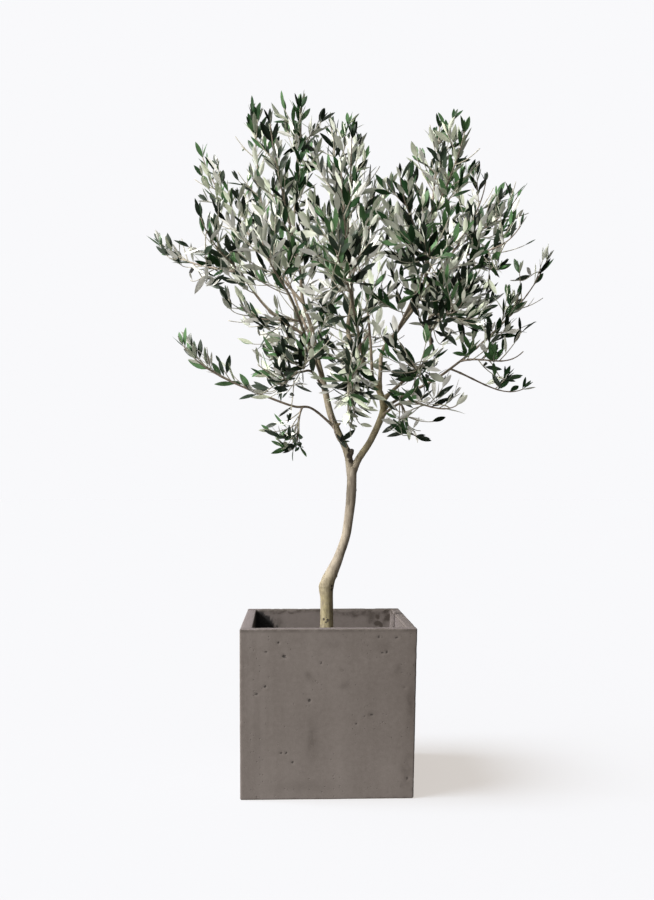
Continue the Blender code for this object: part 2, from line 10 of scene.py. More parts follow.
import bpy
import numpy as np
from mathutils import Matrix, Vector


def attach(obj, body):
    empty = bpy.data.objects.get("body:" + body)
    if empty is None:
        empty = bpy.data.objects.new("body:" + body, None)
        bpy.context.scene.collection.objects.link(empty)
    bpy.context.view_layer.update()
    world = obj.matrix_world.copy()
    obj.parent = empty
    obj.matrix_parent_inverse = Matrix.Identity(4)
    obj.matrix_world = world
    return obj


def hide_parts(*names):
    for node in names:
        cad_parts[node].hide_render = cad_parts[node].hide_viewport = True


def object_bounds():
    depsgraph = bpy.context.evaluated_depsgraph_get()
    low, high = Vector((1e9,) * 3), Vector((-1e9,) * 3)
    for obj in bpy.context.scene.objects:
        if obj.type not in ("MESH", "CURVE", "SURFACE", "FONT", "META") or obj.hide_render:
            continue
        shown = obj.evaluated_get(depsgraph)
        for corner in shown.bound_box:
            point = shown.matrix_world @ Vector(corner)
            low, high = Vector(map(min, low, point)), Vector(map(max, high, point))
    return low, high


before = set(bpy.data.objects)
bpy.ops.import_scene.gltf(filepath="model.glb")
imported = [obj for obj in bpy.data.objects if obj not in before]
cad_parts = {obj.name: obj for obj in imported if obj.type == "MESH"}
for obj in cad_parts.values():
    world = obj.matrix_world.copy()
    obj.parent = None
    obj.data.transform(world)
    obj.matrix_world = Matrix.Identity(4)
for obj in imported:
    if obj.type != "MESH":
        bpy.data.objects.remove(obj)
cad_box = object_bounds()
print("solid model", [tuple(round(v, 3) for v in corner) for corner in cad_box])

# %% [markdown]
# The photograph was taken with the lens level, a little left of the trunk, at about the height of the
# trunk's middle. A level lens keeps the planter's edges upright. The frame is then slid upwards with the
# lens shift, which keeps them upright too, where tilting the camera would make them lean.
# The picture is 654 by 900 pixels, and a point 967 pixels in front of the lens is one pixel per pixel.

# %% Camera
PICTURE_HEIGHT = 900
FOCAL_PIXELS = 967
SENSOR = 36.0
CAMERA_PLACE = (-0.0733, -2.28, 0.6525)
LENS_TURN_PIXELS = 32.7
LENS_RISE_PIXELS = 48

lens = bpy.data.cameras.new("camera")
lens.sensor_width = SENSOR
lens.lens = FOCAL_PIXELS / PICTURE_HEIGHT * SENSOR
lens.shift_y = LENS_RISE_PIXELS / PICTURE_HEIGHT
camera = bpy.data.objects.new("camera", lens)
camera.location = CAMERA_PLACE
camera.rotation_euler = (math.pi / 2, 0, -math.atan(LENS_TURN_PIXELS / FOCAL_PIXELS))
bpy.context.scene.collection.objects.link(camera)
bpy.context.scene.camera = camera
bpy.context.scene.view_settings.view_transform = "Standard"
print("lens", round(lens.lens, 2), "mm")

# %% [markdown]
# Tables of places and sizes are in whole parts of a metre, which makes them short to write and to read.
# Two curves soften whatever starts and stops: a step and a bell.

# %% Units and soft curves
TENTHS = 10000  # tenths of a millimetre in a metre


def metres(table, parts=1000):
    """A table of whole millimetres, or of other parts of a metre, in metres."""
    return np.array(table) / parts


def smooth_step(t):
    """0 below 0, 1 above 1, and 3t^2 - 2t^3 between."""
    t = np.clip(t, 0, 1)
    return t * t * (3 - 2 * t)


def bell(t):
    """1 at 0, and less both ways: e^(-t^2)."""
    return np.exp(-(t**2))


# %% [markdown]
# Finishes are Blender node materials, but written as sums. A small class wraps the output of a node and
# gives it the signs +, - and *, so that a line such as `1 - pores * 0.5` adds the nodes for it. Another
# wraps a tree of nodes, so the studio's light is written in the same way.
# Numbers that never change go straight into the shader's own sockets.

# %% Finishes written as sums
class Shade:
    """An output in a tree of nodes that plain sums can be written with."""

    def __init__(self, wires, socket):
        self.wires, self.socket = wires, socket

    def sum_of(self, operation, *values):
        return self.wires.node("ShaderNodeMath", {"operation": operation}, dict(enumerate(values)))

    def __add__(self, other):
        return self.sum_of("ADD", self, other)

    def __sub__(self, other):
        return self.sum_of("SUBTRACT", self, other)

    def __rsub__(self, other):
        return self.sum_of("SUBTRACT", other, self)

    def __mul__(self, other):
        return self.sum_of("MULTIPLY", self, other)

    __radd__ = __add__
    __rmul__ = __mul__

    def from_to(self, low, high):
        """0 where this is low, 1 where it is high, and smooth between; it is held there outside them."""
        return self.wires.node("ShaderNodeMapRange", {"interpolation_type": "SMOOTHSTEP"},
                               {"Value": self, "From Min": low, "From Max": high})


class Wires:
    """A tree of nodes."""

    def __init__(self, tree):
        self.tree = tree

    def node(self, kind, settings=None, inputs=None, output=0):
        """Adds a node: its settings first, then the values or links of its sockets."""
        made = self.tree.nodes.new(kind)
        for setting, value in (settings or {}).items():
            setattr(made, setting, value)
        for socket, value in (inputs or {}).items():
            self.join(value, made.inputs[socket])
        return Shade(self, made.outputs[output]) if made.outputs else None

    def join(self, value, socket):
        if isinstance(value, Shade):
            self.tree.links.new(value.socket, socket)
        else:
            socket.default_value = value

    def mix(self, share, low, high):
        """A colour between two others, by a share from 0 to 1."""
        colours = [c if isinstance(c, Shade) else (*c, 1.0) for c in (low, high)]
        return self.node("ShaderNodeMix", {"data_type": "RGBA"}, {0: share, 6: colours[0], 7: colours[1]},
                         output=2)

    def layers(self, colour, *coats):
        """A colour under coats of others, each a share and a colour."""
        for share, coat in coats:
            colour = self.mix(share, colour, coat)
        return colour


class Finish(Wires):
    """A material on the Principled shader, with sums and patterns to drive it."""

    def __init__(self, name, **constants):
        self.material = bpy.data.materials.new(name)
        self.material.use_nodes = True
        super().__init__(self.material.node_tree)
        self.shader = self.tree.nodes["Principled BSDF"]
        for socket, value in constants.items():
            self.shader.inputs[socket.replace("_", " ")].default_value = value

    def place(self, scale=(1, 1, 1)):
        """Where the point is on the plant, in metres, stretched by a scale."""
        own = self.node("ShaderNodeTexCoord", output="Object")
        return self.node("ShaderNodeVectorMath", {"operation": "MULTIPLY"}, {0: own, 1: scale})

    def along(self, axis):
        """The point's place along one axis, in metres."""
        return self.node("ShaderNodeSeparateXYZ", None, {0: self.place()}, output=axis)

    def mark(self, name):
        """A number that the mesh keeps at each point."""
        return self.node("ShaderNodeAttribute", {"attribute_name": name}, output="Fac")

    def cloud(self, scale, detail=3.0, rough=0.5, stretch=(1, 1, 1), warp=0.0):
        """Soft noise from 0 to 1, with a pattern scale per metre."""
        return self.node("ShaderNodeTexNoise", {"noise_dimensions": "3D"}, {
            "Vector": self.place(stretch), "Scale": scale, "Detail": detail, "Roughness": rough,
            "Distortion": warp,
        }, output="Fac")

    def cells(self, scale, output="Distance"):
        """Seeded cells: how far the point is from its cell's middle, or the cell's own colour."""
        return self.node("ShaderNodeTexVoronoi", {"feature": "F1"}, {
            "Vector": self.place(), "Scale": scale,
        }, output=output)

    def wear(self, colour, roughness=None, relief=None, depth=0.001, strength=1.0):
        """Joins a colour, a roughness and a relief in metres to the shader, and gives the material."""
        self.join(colour, self.shader.inputs["Base Color"])
        if roughness is not None:
            self.join(roughness, self.shader.inputs["Roughness"])
        if relief is not None:
            bump = {"Height": relief, "Distance": depth, "Strength": strength}
            self.join(self.node("ShaderNodeBump", None, bump), self.shader.inputs["Normal"])
        return self.material


# %% [markdown]
# The light is a window's: a lamp ahead and to the left, and a room that is bright on that side and dim on
# the other, so the right side of the trunk is in shade. A sun lamp is used, because it lights the whole
# plant alike, as a lamp close by wouldn't.
# The floor is lit on its own. It should show the soft shadow of the planter alone, to its right, and no
# shadow of the thin crown. So it has a lamp with a wider disc, which only the planter and the wood block,
# and it sends no light back to the plant: the room's lower half stands for it.

# %% Studio
BACKDROP = np.array([0.947, 0.947, 0.966])
ROOM_BRIGHT = np.array([1.58, 1.51, 1.43])
ROOM_DIM = np.array([0.088, 0.084, 0.079])
BRIGHT_SIDE = np.array([-0.85, -0.40, 0.30])
WINDOW = BRIGHT_SIDE / np.linalg.norm(BRIGHT_SIDE)
BRIGHT_FROM = -0.25  # facing along that side where the room starts to get brighter
LAMPS = {  # strength, colour, width of the disc, heading from the +X axis towards the back, drop
    "plant_lamp": (6.0, (1.0, 0.98, 0.95), 9, 28, 38),
    "floor_lamp": (12.0, (1.0, 1.0, 1.0), 37, 9, 49.5),
}

lamps = {}
for name, (strength, colour, disc, heading, drop) in LAMPS.items():
    heading, drop = math.radians(heading), math.radians(drop)
    way = Vector((math.cos(heading) * math.cos(drop), math.sin(heading) * math.cos(drop), -math.sin(drop)))
    lamp_data = bpy.data.lights.new(name, "SUN")
    lamp_data.energy, lamp_data.color, lamp_data.angle = strength, colour, math.radians(disc)
    lamps[name] = bpy.data.objects.new(name, lamp_data)
    lamps[name].rotation_euler = way.to_track_quat("-Z", "Y").to_euler()
    bpy.context.scene.collection.objects.link(lamps[name])

room = bpy.data.worlds.new("room")
room.use_nodes = True
room.node_tree.nodes.clear()
bpy.context.scene.world = room
wires = Wires(room.node_tree)
heading = wires.node("ShaderNodeTexCoord", output="Generated")
facing = wires.node("ShaderNodeVectorMath", {"operation": "DOT_PRODUCT"}, {0: heading, 1: WINDOW},
                    output="Value")
light_here = wires.mix(facing.from_to(BRIGHT_FROM, 1), ROOM_DIM, ROOM_BRIGHT)
lighting = wires.node("ShaderNodeBackground", None, {"Color": light_here})
seen = wires.node("ShaderNodeBackground", None, {"Color": (*BACKDROP, 1)})
camera_ray = wires.node("ShaderNodeLightPath", output="Is Camera Ray")
either = wires.node("ShaderNodeMixShader", None, {0: camera_ray, 1: lighting, 2: seen})
wires.node("ShaderNodeOutputWorld", None, {"Surface": either})

# %% [markdown]
# The floor should be as pale as the backdrop where nothing shades it, so that no horizon shows. What
# falls on it is the room's light, averaged over the sky with each direction's slope to the floor, and the
# lamp's. A part of its brightness is a glow of its own, which keeps the planter's shadow light.
# floor colour = (backdrop - glow) / (room light + lamp light).

# %% Floor colour
FLOOR_GLOW = np.array([0.625, 0.583, 0.547])


def room_light_on_floor():
    """The room's light on a level floor: its mean over the sky, weighted by the height of the direction."""
    height, turn = np.meshgrid(np.linspace(0, 1, 60), np.linspace(0, 2 * math.pi, 120, endpoint=False))
    level = np.sqrt(1 - height**2)
    facing = level * np.cos(turn) * WINDOW[0] + level * np.sin(turn) * WINDOW[1] + height * WINDOW[2]
    share = smooth_step((facing - BRIGHT_FROM) / (1 - BRIGHT_FROM))
    light = ROOM_DIM + (ROOM_BRIGHT - ROOM_DIM) * share[..., None]
    return (light * height[..., None]).sum(axis=(0, 1)) / height.sum()


strength, tint, _, _, drop = LAMPS["floor_lamp"]
lamp_on_floor = np.array(tint) * strength * math.sin(math.radians(drop)) / math.pi
floor_colour = (BACKDROP - FLOOR_GLOW) / (room_light_on_floor() + lamp_on_floor)
print("room light", room_light_on_floor().round(3), "floor colour", floor_colour.round(3))

# %% [markdown]
# Every surface below is worked out as whole arrays of points. One function turns such arrays into a
# Blender object: its corners, faces of four and faces of three, and the finish of each face. Three more
# read its points, move them, and keep numbers at them that the finish reads, such as where shadow is
# painted on the clay.

# %% Meshes from arrays
BODY = "root"


def mesh_object(name, points, quads=(), triangles=(), finishes=(), finish_of_face=None):
    """Points (n, 3), quads (n, 4) and triangles (n, 3) of point numbers become one object."""
    quads = np.asarray(quads, np.int32).reshape(-1, 4)
    triangles = np.asarray(triangles, np.int32).reshape(-1, 3)
    corners = np.concatenate([quads.ravel(), triangles.ravel()])
    starts = np.concatenate([np.arange(len(quads)) * 4, len(quads) * 4 + np.arange(len(triangles)) * 3])
    mesh = bpy.data.meshes.new(name)
    mesh.vertices.add(len(points))
    mesh.vertices.foreach_set("co", np.asarray(points, np.float32).ravel())
    mesh.loops.add(len(corners))
    mesh.loops.foreach_set("vertex_index", corners)
    mesh.polygons.add(len(starts))
    mesh.polygons.foreach_set("loop_start", starts.astype(np.int32))
    for finish in finishes:
        mesh.materials.append(finish)
    if finish_of_face is not None:
        mesh.polygons.foreach_set("material_index", np.asarray(finish_of_face, np.int32))
    mesh.update(calc_edges=True)
    mesh.shade_smooth()
    made = bpy.data.objects.new(name, mesh)
    bpy.context.scene.collection.objects.link(made)
    return made


def read_points(piece, what="co"):
    """The places or the normals of a mesh's points, as an array (n, 3)."""
    values = np.empty(len(piece.data.vertices) * 3, np.float32)
    if what == "co":
        piece.data.vertices.foreach_get("co", values)
    else:
        piece.data.vertex_normals.foreach_get("vector", values)
    return values.reshape(-1, 3).astype(float)


def move_points(piece, places):
    """Puts a mesh's points at new places."""
    piece.data.vertices.foreach_set("co", places.astype(np.float32).ravel())
    piece.data.update()


def keep_marks(piece, **marks):
    """Keeps a number at each point for each mark."""
    for mark, values in marks.items():
        piece.data.attributes.new(mark, "FLOAT", "POINT").data.foreach_set("value", values.astype(np.float32))


def finished(piece, slot, *nodes, finish=None):
    """A finished piece rides on the plant's one body, takes the finish it is given and stands for nodes. slot
    is not used.
    """
    if finish:
        piece.data.materials.clear()
        piece.data.materials.append(finish)
    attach(piece, BODY)
    if nodes:
        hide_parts(*nodes)
    faces = sum(len(p.vertices) - 2 for p in piece.data.polygons)
    print(f"{piece.name}: {faces} triangles")
    return piece


FLOOR_REACH = 400
floor_corners = np.array([(-1, -1, 0), (1, -1, 0), (1, 1, 0), (-1, 1, 0)]) * FLOOR_REACH
floor = mesh_object("floor", floor_corners, [(0, 1, 2, 3)])
floor.visible_diffuse = False
floor.visible_glossy = False
floor_finish = Finish("pale_floor", Roughness=1.0, Specular_IOR_Level=0.0,
                      Emission_Color=(*FLOOR_GLOW, 1.0), Emission_Strength=1.0)
floor.data.materials.append(floor_finish.wear(colour=(*floor_colour, 1.0)))

# %% [markdown]
# Natural surfaces need irregularity that still comes out the same each time. Value noise gives it: every
# corner of a lattice has its own fixed random value, and between corners the values are blended with the
# weights 3t^2 - 2t^3, so the surface has no kinks. It is worked out for all points at once.

# %% Noise
LATTICE_PRIMES = np.array([73856093, 19349663, 83492791])
SEED_PRIME = 2654435761
MIX_PRIME = 1274126177


def noise(points, size, seed=0):
    """Smooth noise from -1 to 1 at each point. size is the lattice's step in metres, one number or three."""
    scaled = np.asarray(points, float) / size
    cell = np.floor(scaled).astype(np.int64)
    inside = scaled - cell
    inside = inside * inside * (3 - 2 * inside)
    total = np.zeros(len(scaled))
    for corner in np.ndindex(2, 2, 2):
        mixed = np.bitwise_xor.reduce((cell + corner) * LATTICE_PRIMES, axis=1) ^ (seed * SEED_PRIME)
        mixed = ((mixed ^ (mixed >> 13)) * MIX_PRIME) & 0xFFFFFFFF
        value = ((mixed ^ (mixed >> 16)) & 0xFFFF) / 32767.5 - 1
        total += value * np.prod(np.where(corner, inside, 1 - inside), axis=1)
    return total


def ripples(points, waves):
    """The sum of several noises, each with its own height, size and seed."""
    return sum(height * noise(points, size, seed) for height, size, seed in waves)


# %% [markdown]
# The planter is cast: a square tub with upright walls, a flat rim and edges only as round as the mould
# made them. It could be a box with bevels. Here it is rings of points instead, one above the other, each a
# square with rounded corners, so that every part of the wall has points enough to be dented.
# A ring's point is x = p * (half - corner) + c * corner, and y likewise, where (p, q) walks along the
# square's inner corners and (c, s) is the direction that the wall faces there.

# %% Planter sizes
RIM_SIDE = 0.385
FOOT_SIDE = 0.376
PLANTER_HEIGHT = 0.370
WALL = 0.022
PLANTER_FLOOR = 0.026
EDGE_ROUND = 0.003
SOIL_TOP = 0.315
CLEAR = 0.0003
MOULD_LEAN = 0.0034  # how far the rim stands to the right of the foot
LEVEL_AT = 0.26  # the height where the lean is nothing
WALL_STEPS = 106  # points along a side, between its corners
CORNER_STEPS = 5
OUTER_ROWS = 112  # rings up the outer wall
RIM_ROWS = 7
INNER_ROWS = (  # from one height to another, and how many rings: close above the soil, wide below it
    (PLANTER_HEIGHT - EDGE_ROUND, 0.295, 23),
    (0.27, PLANTER_FLOOR + EDGE_ROUND, 9),
)


def outer_half(height):
    """Half the planter's outer width at a height: the mould opens a little upwards."""
    return (FOOT_SIDE + (RIM_SIDE - FOOT_SIDE) * height / PLANTER_HEIGHT) / 2


def square_rings(halves, corners, heights):
    """Rings of a rounded square, one for each half width, corner radius and height: (rings, columns, 3)."""
    run = np.concatenate([[-1], np.linspace(-0.988, 0.988, WALL_STEPS), [1]])
    bend = np.linspace(0, math.pi / 2, CORNER_STEPS + 2)[1:-1]
    p = np.concatenate([run, np.ones(CORNER_STEPS)])
    q = -np.ones_like(p)
    c = np.concatenate([np.zeros_like(run), np.sin(bend)])
    s = np.concatenate([-np.ones_like(run), -np.cos(bend)])
    rings = []
    for _ in range(4):
        rings.append((p, q, c, s))
        p, q, c, s = -q, p, -s, c
    p, q, c, s = (np.concatenate(part) for part in zip(*rings))
    halves, corners, heights = (np.asarray(v, float)[:, None] for v in (halves, corners, heights))
    x = p * (halves - corners) + c * corners
    y = q * (halves - corners) + s * corners
    return np.stack([x, y, heights + 0 * x], axis=-1)


def ring_faces(rows, columns):
    """Quads between rings of points, and the triangles that close both ends on a pole. The first point is
    the first pole, then come the rings, and the last point is the last pole."""
    row, column = np.meshgrid(np.arange(rows - 1), np.arange(columns), indexing="ij")
    after = (column + 1) % columns
    quads = 1 + np.stack([row * columns + column, row * columns + after,
                          (row + 1) * columns + after, (row + 1) * columns + column], axis=-1)
    side = np.arange(columns)
    last = 1 + (rows - 1) * columns
    first_end = np.stack([0 * side, 1 + (side + 1) % columns, 1 + side], axis=-1)
    last_end = np.stack([last + side, last + (side + 1) % columns, 0 * side + last + columns], axis=-1)
    return quads.reshape(-1, 4), np.concatenate([first_end, last_end])


# %% [markdown]
# The rings follow a profile: from the middle of the underside, up the outer wall, over the rim, down the
# inner wall and to the middle of the tub's floor. A quarter round softens each edge, and a pole at each
# end closes the form.

# %% Planter walls
def edge_profile(middle_half, middle_height, turn, count=4):
    """A quarter round of an edge about its middle, through a turn from one angle to another."""
    angles = np.linspace(turn[0], turn[1], count + 2)[1:-1]
    return middle_half + EDGE_ROUND * np.cos(angles), middle_height + EDGE_ROUND * np.sin(angles)


def planter_profile():
    """The half width, corner radius and height of each ring, from the underside to the inner floor."""
    foot, rim, bend = FOOT_SIDE / 2 - EDGE_ROUND, RIM_SIDE / 2 - EDGE_ROUND, PLANTER_HEIGHT - EDGE_ROUND
    inner_rim = RIM_SIDE / 2 - WALL + EDGE_ROUND
    under = np.array([0.05, 0.11, 0.16, foot])
    foot_half, foot_height = edge_profile(foot, EDGE_ROUND, (-math.pi / 2, 0))
    outer_height = np.linspace(EDGE_ROUND, bend, OUTER_ROWS)
    lip_half, lip_height = edge_profile(rim, bend, (0, math.pi / 2))
    rim_half = np.linspace(rim, inner_rim, RIM_ROWS)
    inner_lip_half, inner_lip_height = edge_profile(inner_rim, bend, (math.pi / 2, math.pi))
    inner_height = np.concatenate([np.linspace(*rows) for rows in INNER_ROWS])
    bottom_half = outer_half(PLANTER_FLOOR) - WALL - np.array([EDGE_ROUND, 0.03, 0.08, 0.13])
    halves = np.concatenate([under, foot_half, outer_half(outer_height), lip_half, rim_half, inner_lip_half,
                             outer_half(inner_height) - WALL, bottom_half])
    heights = np.concatenate([0 * under, foot_height, outer_height, lip_height,
                              0 * rim_half + PLANTER_HEIGHT, inner_lip_height, inner_height,
                              0 * bottom_half + PLANTER_FLOOR])
    return halves, np.minimum(EDGE_ROUND, halves / 3), heights


halves, corners, heights = planter_profile()
rings = square_rings(halves, corners, heights)
wall_points = np.vstack([[(0, 0, 0)], rings.reshape(-1, 3), [(0, 0, PLANTER_FLOOR)]])
planter_piece = mesh_object("planter_walls", wall_points, *ring_faces(*rings.shape[:2]))
print("planter rings", rings.shape)

# %% [markdown]
# A cast wall isn't quite flat, its edges wear, and air bubbles leave pits. The pits on the front are
# where the real one has them, and the other sides have their own, dealt out by a seeded rule. Each pit
# pushes the wall in by depth * (1 - smooth step of distance / radius). The undulation is noise, stronger
# at the edges, where it only takes material away. The left wall's lip gets thicker towards the front, and
# the whole tub leans a little to the right, as it came from its mould.

# %% Dents, pits and worn edges
FRONT_PITS = (  # x, z and radius, in tenths of a millimetre
    (-960, 3110, 42), (-1360, 2460, 36), (-1550, 2300, 34), (-400, 2150, 40), (950, 1830, 34),
    (-350, 1290, 24), (-330, 1360, 22), (-760, 810, 34), (-1010, 1020, 33), (-890, 1020, 33),
    (-1350, 3200, 33), (-1080, 3400, 33), (1080, 3520, 33), (1490, 3500, 30), (1170, 3170, 32),
    (1260, 3190, 34), (-160, 2960, 28), (390, 2440, 24), (790, 1790, 24), (620, 1640, 26),
    (1660, 2410, 30), (1740, 440, 34), (-1435, 2410, 24), (-1520, 2405, 22), (1160, 3520, 24),
    (1440, 3490, 24), (-925, 3070, 30),
)
PITS_PER_WALL = 24
PIT_DEPTH = 0.55  # of its radius
LEFT_LIP = 0.0055  # how much thicker the left wall's lip is at its front end than at the back
WAVES = ((0.00022, 0.055, 1), (0.00009, 0.012, 2))  # height, size and seed of each noise
WORN_BAND = 0.006  # how far from an edge the wall is worn
CHIP_DEPTH = 0.0008
NEAR_FACE = 0.004  # a point this near a face counts as on it


def wall_pits():
    """Centre and radius of every pit: the front's own, and seeded ones on the other three walls."""
    chance = random.Random("pits")
    pits = [(x, -outer_half(z), z, r) for x, z, r in metres(FRONT_PITS, TENTHS)]
    for way in ((1, 0), (0, 1), (-1, 0)):
        for _ in range(PITS_PER_WALL):
            along, z = chance.uniform(-0.18, 0.18), chance.uniform(0.01, 0.36)
            half = outer_half(z)
            pits.append((way[0] * half - way[1] * along, way[1] * half + way[0] * along, z,
                         chance.uniform(0.0022, 0.0042)))
    return np.array(pits)


def wear_down(piece):
    """Moves the wall's points in along their normals, and marks how deep in a pit each one is."""
    places, normals = read_points(piece), read_points(piece, "normal")
    pit = np.zeros(len(places))
    for x, y, z, radius in wall_pits():
        distance = np.linalg.norm(places - (x, y, z), axis=1)
        pit = np.maximum(pit, (1 - smooth_step(distance / (radius * 1.25))) * radius)
    in_plan = np.abs(places[:, :2])
    half = outer_half(places[:, 2])
    outside = in_plan.max(axis=1) > half - WORN_BAND
    near_corner = smooth_step(1 - (half - in_plan.min(axis=1)) / WORN_BAND)
    near_rim = smooth_step(1 - (PLANTER_HEIGHT - places[:, 2]) / WORN_BAND) * outside
    near_foot = smooth_step(1 - places[:, 2] / WORN_BAND) * outside
    edge = np.max([near_corner, near_rim, near_foot], axis=0)
    shift = ripples(places, WAVES)
    chipped = smooth_step((noise(places, 0.010, 3) - 0.30) / 0.5)
    worn = CHIP_DEPTH * chipped + 0.0001 * (1 + noise(places, 0.02, 4))
    shift = shift - edge * worn - PIT_DEPTH * pit
    shift[np.abs(places[:, 2]) < 1e-6] = 0  # the underside stays flat
    moved = places + normals * shift[:, None]
    inner_left = (np.abs(moved[:, 0] + half - WALL) < NEAR_FACE) & (np.abs(moved[:, 1]) < half - WALL + 0.001)
    lip = inner_left * smooth_step((moved[:, 2] - SOIL_TOP - 0.008) / 0.03)
    moved[:, 0] += LEFT_LIP * lip * (0.5 - moved[:, 1] / (2 * half))
    moved[:, 0] += MOULD_LEAN * (moved[:, 2] - LEVEL_AT) / PLANTER_HEIGHT
    move_points(piece, moved)
    keep_marks(piece, pit=(pit / 0.004).clip(0, 1), edge=edge)


wear_down(planter_piece)
print("planter pits", len(wall_pits()))

# %% [markdown]
# A few soft smudges lie on the front. The tops of the left, front and right walls are painted paler as
# painted light, and a line of painted shade runs under the front's lip. The front is also paler in a line
# along its foot. Inside, above the soil, watering left stains, most of them in the right corner of the back
# wall. The back wall is darker along its top and a little paler below, and the inner right wall is painted
# paler as painted light, with a pale slanting streak. The left side and a ragged corner of the back wall
# beside it are painted nearly black as painted shadow. Stains could be painted on an image. Here a stain is
# a mark that the mesh keeps at each point, worked out from its middle and its half width and height.

# %% Stains on the clay
SMUDGES = (  # x, z, half width and half height in tenths of a millimetre, and how strong
    (-370, 1250, 110, 400, 0.6), (340, 2500, 100, 100, 0.5), (300, 2820, 70, 90, 0.4),
    (900, 1800, 90, 70, 0.7), (-1500, 1200, 120, 600, 0.3), (1680, 600, 100, 500, 0.5),
    (1200, 3300, 200, 100, 0.3), (-600, 300, 600, 120, 0.3), (-390, 2660, 80, 100, 0.5),
    (80, 3370, 140, 60, 0.3), (1540, 2820, 100, 140, 0.5), (1780, 2000, 80, 500, 0.7),
)
BACK_STAINS = (  # the same, on the inner face of the back wall
    (800, 3600, 750, 70, 1.1), (1650, 3640, 200, 40, 1.2), (-800, 3640, 700, 35, 1.2),
    (1220, 3450, 90, 120, 1.0), (1390, 3515, 45, 50, 4.5), (1380, 3345, 55, 55, 4.5),
    (1460, 3290, 40, 50, 4.0), (1560, 3460, 50, 180, 1.1), (1640, 3490, 45, 70, 3.6),
    (-1150, 3400, 120, 140, 0.7),
)
PAINTED_SHADOW_EDGE = (  # z and x of the painted shadow's edge on that face, in millimetres
    (328, -118), (338, -131), (352, -134), (359, -151), (368, -163),
)
ON_FRONT = -0.165  # y of everything that belongs to the front wall
FRONT_FACE = -0.17  # y of everything near its outer face
LIP_LINE = (0.3662, 0.0034)  # height and spread of the line of painted shade under the front's lip
BACK_TOP = 0.165  # y of everything that belongs to the back wall
TOP_BAND = 0.003  # how far below the rim's height a point counts as on top
STAIN_RAGGED = ((0.006, 0.016, 31), (0.006, 0.016, 32))  # how ragged stains are along x and z


def stain_marks(places):
    """How dark each point is painted, from 0 to 3: stains as a sum of bells, e^(-(dx / width)^2 - (dz /
    height)^2), painted shade in a line under the front's lip, and the back wall's top.
    """
    x, y, z = places.T
    # painted shade: a dark line under the front's lip
    under_lip = (y < FRONT_FACE) * bell((z - LIP_LINE[0]) / LIP_LINE[1])
    back_top = (y > BACK_TOP) & (z > PLANTER_HEIGHT - TOP_BAND)
    x, z = (along + ripples(places, [wave]) for along, wave in zip((x, z), STAIN_RAGGED))
    stained = np.zeros(len(places))
    inner_back = (y > 0.12) & (y < outer_half(z) - WALL / 2)
    for spots_there, table in ((y < FRONT_FACE, SMUDGES), (inner_back, BACK_STAINS)):
        for *sizes, strong in table:
            at, level, wide, high = metres(sizes, TENTHS)
            stained += spots_there * strong * np.exp(-(((x - at) / wide) ** 2) - ((z - level) / high) ** 2)
    return (stained + 0.80 * under_lip + 0.55 * back_top).clip(0, 3.0)


def damp_marks(places):
    """1 where shadow is painted, on the left wall inside and in a ragged corner of the inner back beside it;
    0 elsewhere.
    """
    x, y, z = places.T
    inner = outer_half(z) - WALL
    inside = (np.abs(y) < inner + 0.002) & (z < PLANTER_HEIGHT - 0.004) & (x > -inner - WALL / 2)
    left_wall = inside & (x < -inner + NEAR_FACE)
    corner_edge = np.interp(z, *metres(PAINTED_SHADOW_EDGE).T) + 0.010 * noise(places, (0.004, 0.01, 0.03), 33)
    # painted shadow in the corner, with a ragged edge
    corner = smooth_step((corner_edge - x) / 0.005 + 0.5) * inside * (y > 0.16)
    return np.maximum(left_wall * 1.0, corner)


def pale_marks(places):
    """How much paler the clay is made. Painted light lies on top of the left, front and right walls and on
    the inner right wall. The clay is also paler in a line along the front's foot, a little on the inner back
    wall, and in a slanting streak on the right wall."""
    x, y, z = places.T
    top = smooth_step((z - PLANTER_HEIGHT + TOP_BAND) / 0.002)
    flat_top = smooth_step((z - PLANTER_HEIGHT + 0.0012) / 0.001)
    inner = outer_half(z) - WALL
    below_rim = z < PLANTER_HEIGHT - TOP_BAND
    inner_right = (np.abs(x - inner) < NEAR_FACE) & (np.abs(y) < inner) & below_rim
    inner_back = (np.abs(y - inner) < NEAR_FACE) & (np.abs(x) < inner) & below_rim
    slant = y - 0.060 + (0.356 - z) * 3.5
    # painted light on the tops and the inner right wall; the foot line, the inner back and the streak are
    # paler clay
    return np.max([
        top * smooth_step((-0.150 - x) / 0.012),
        flat_top * (y < ON_FRONT) * (0.78 + 0.22 * noise(places, (0.03, 0.1, 0.1), 35)),
        top * (x > 0.165) * 0.35,
        (y < ON_FRONT) * smooth_step(1 - z / 0.005) * (0.25 + 0.45 * noise(places, (0.02, 0.1, 0.1), 36)),
        inner_right * (0.42 + 0.30 * noise(places, (0.02, 0.03, 0.012), 34) + 0.9 * bell(slant / 0.016)),
        inner_back * 0.20,
    ], axis=0).clip(0, 1)


clay_places = read_points(planter_piece)
keep_marks(planter_piece, stain=stain_marks(clay_places), damp=damp_marks(clay_places),
           pale=pale_marks(clay_places))
print("clay points", len(clay_places))

# %% [markdown]
# The clay is a warm grey that dries in clouds: broad pale and dark patches, streaks down the wall where
# water ran, a fine grain, and hair-thin pores. Each of these is noise of its own size, and their sum is the
# tone between a dark and a pale colour. Painted shade darkens the tone towards the right, and a ragged
# strip at the right edge is darker still. The pits and pores are darkened with painted shade. It is all matt.

# %% Cast clay
CLAY_DARK, CLAY_PALE = (0.081, 0.0680, 0.0608), (0.130, 0.1135, 0.1055)
# paler clay, which also holds painted light on the wall tops and the inner right wall
CLAY_PAINTED_LIGHT_AND_PALE = (0.170, 0.147, 0.152)
# dark stains, which also hold a line of painted shade under the front's lip
CLAY_STAIN_AND_SHADE = (0.034, 0.026, 0.021)
# nearly black, for the painted shadow inside the left wall and its corner
CLAY_PAINTED_SHADOW = (0.004, 0.003, 0.003)
# painted shade in pits and pores
CLAY_PIT_SHADE = (0.022, 0.018, 0.016)

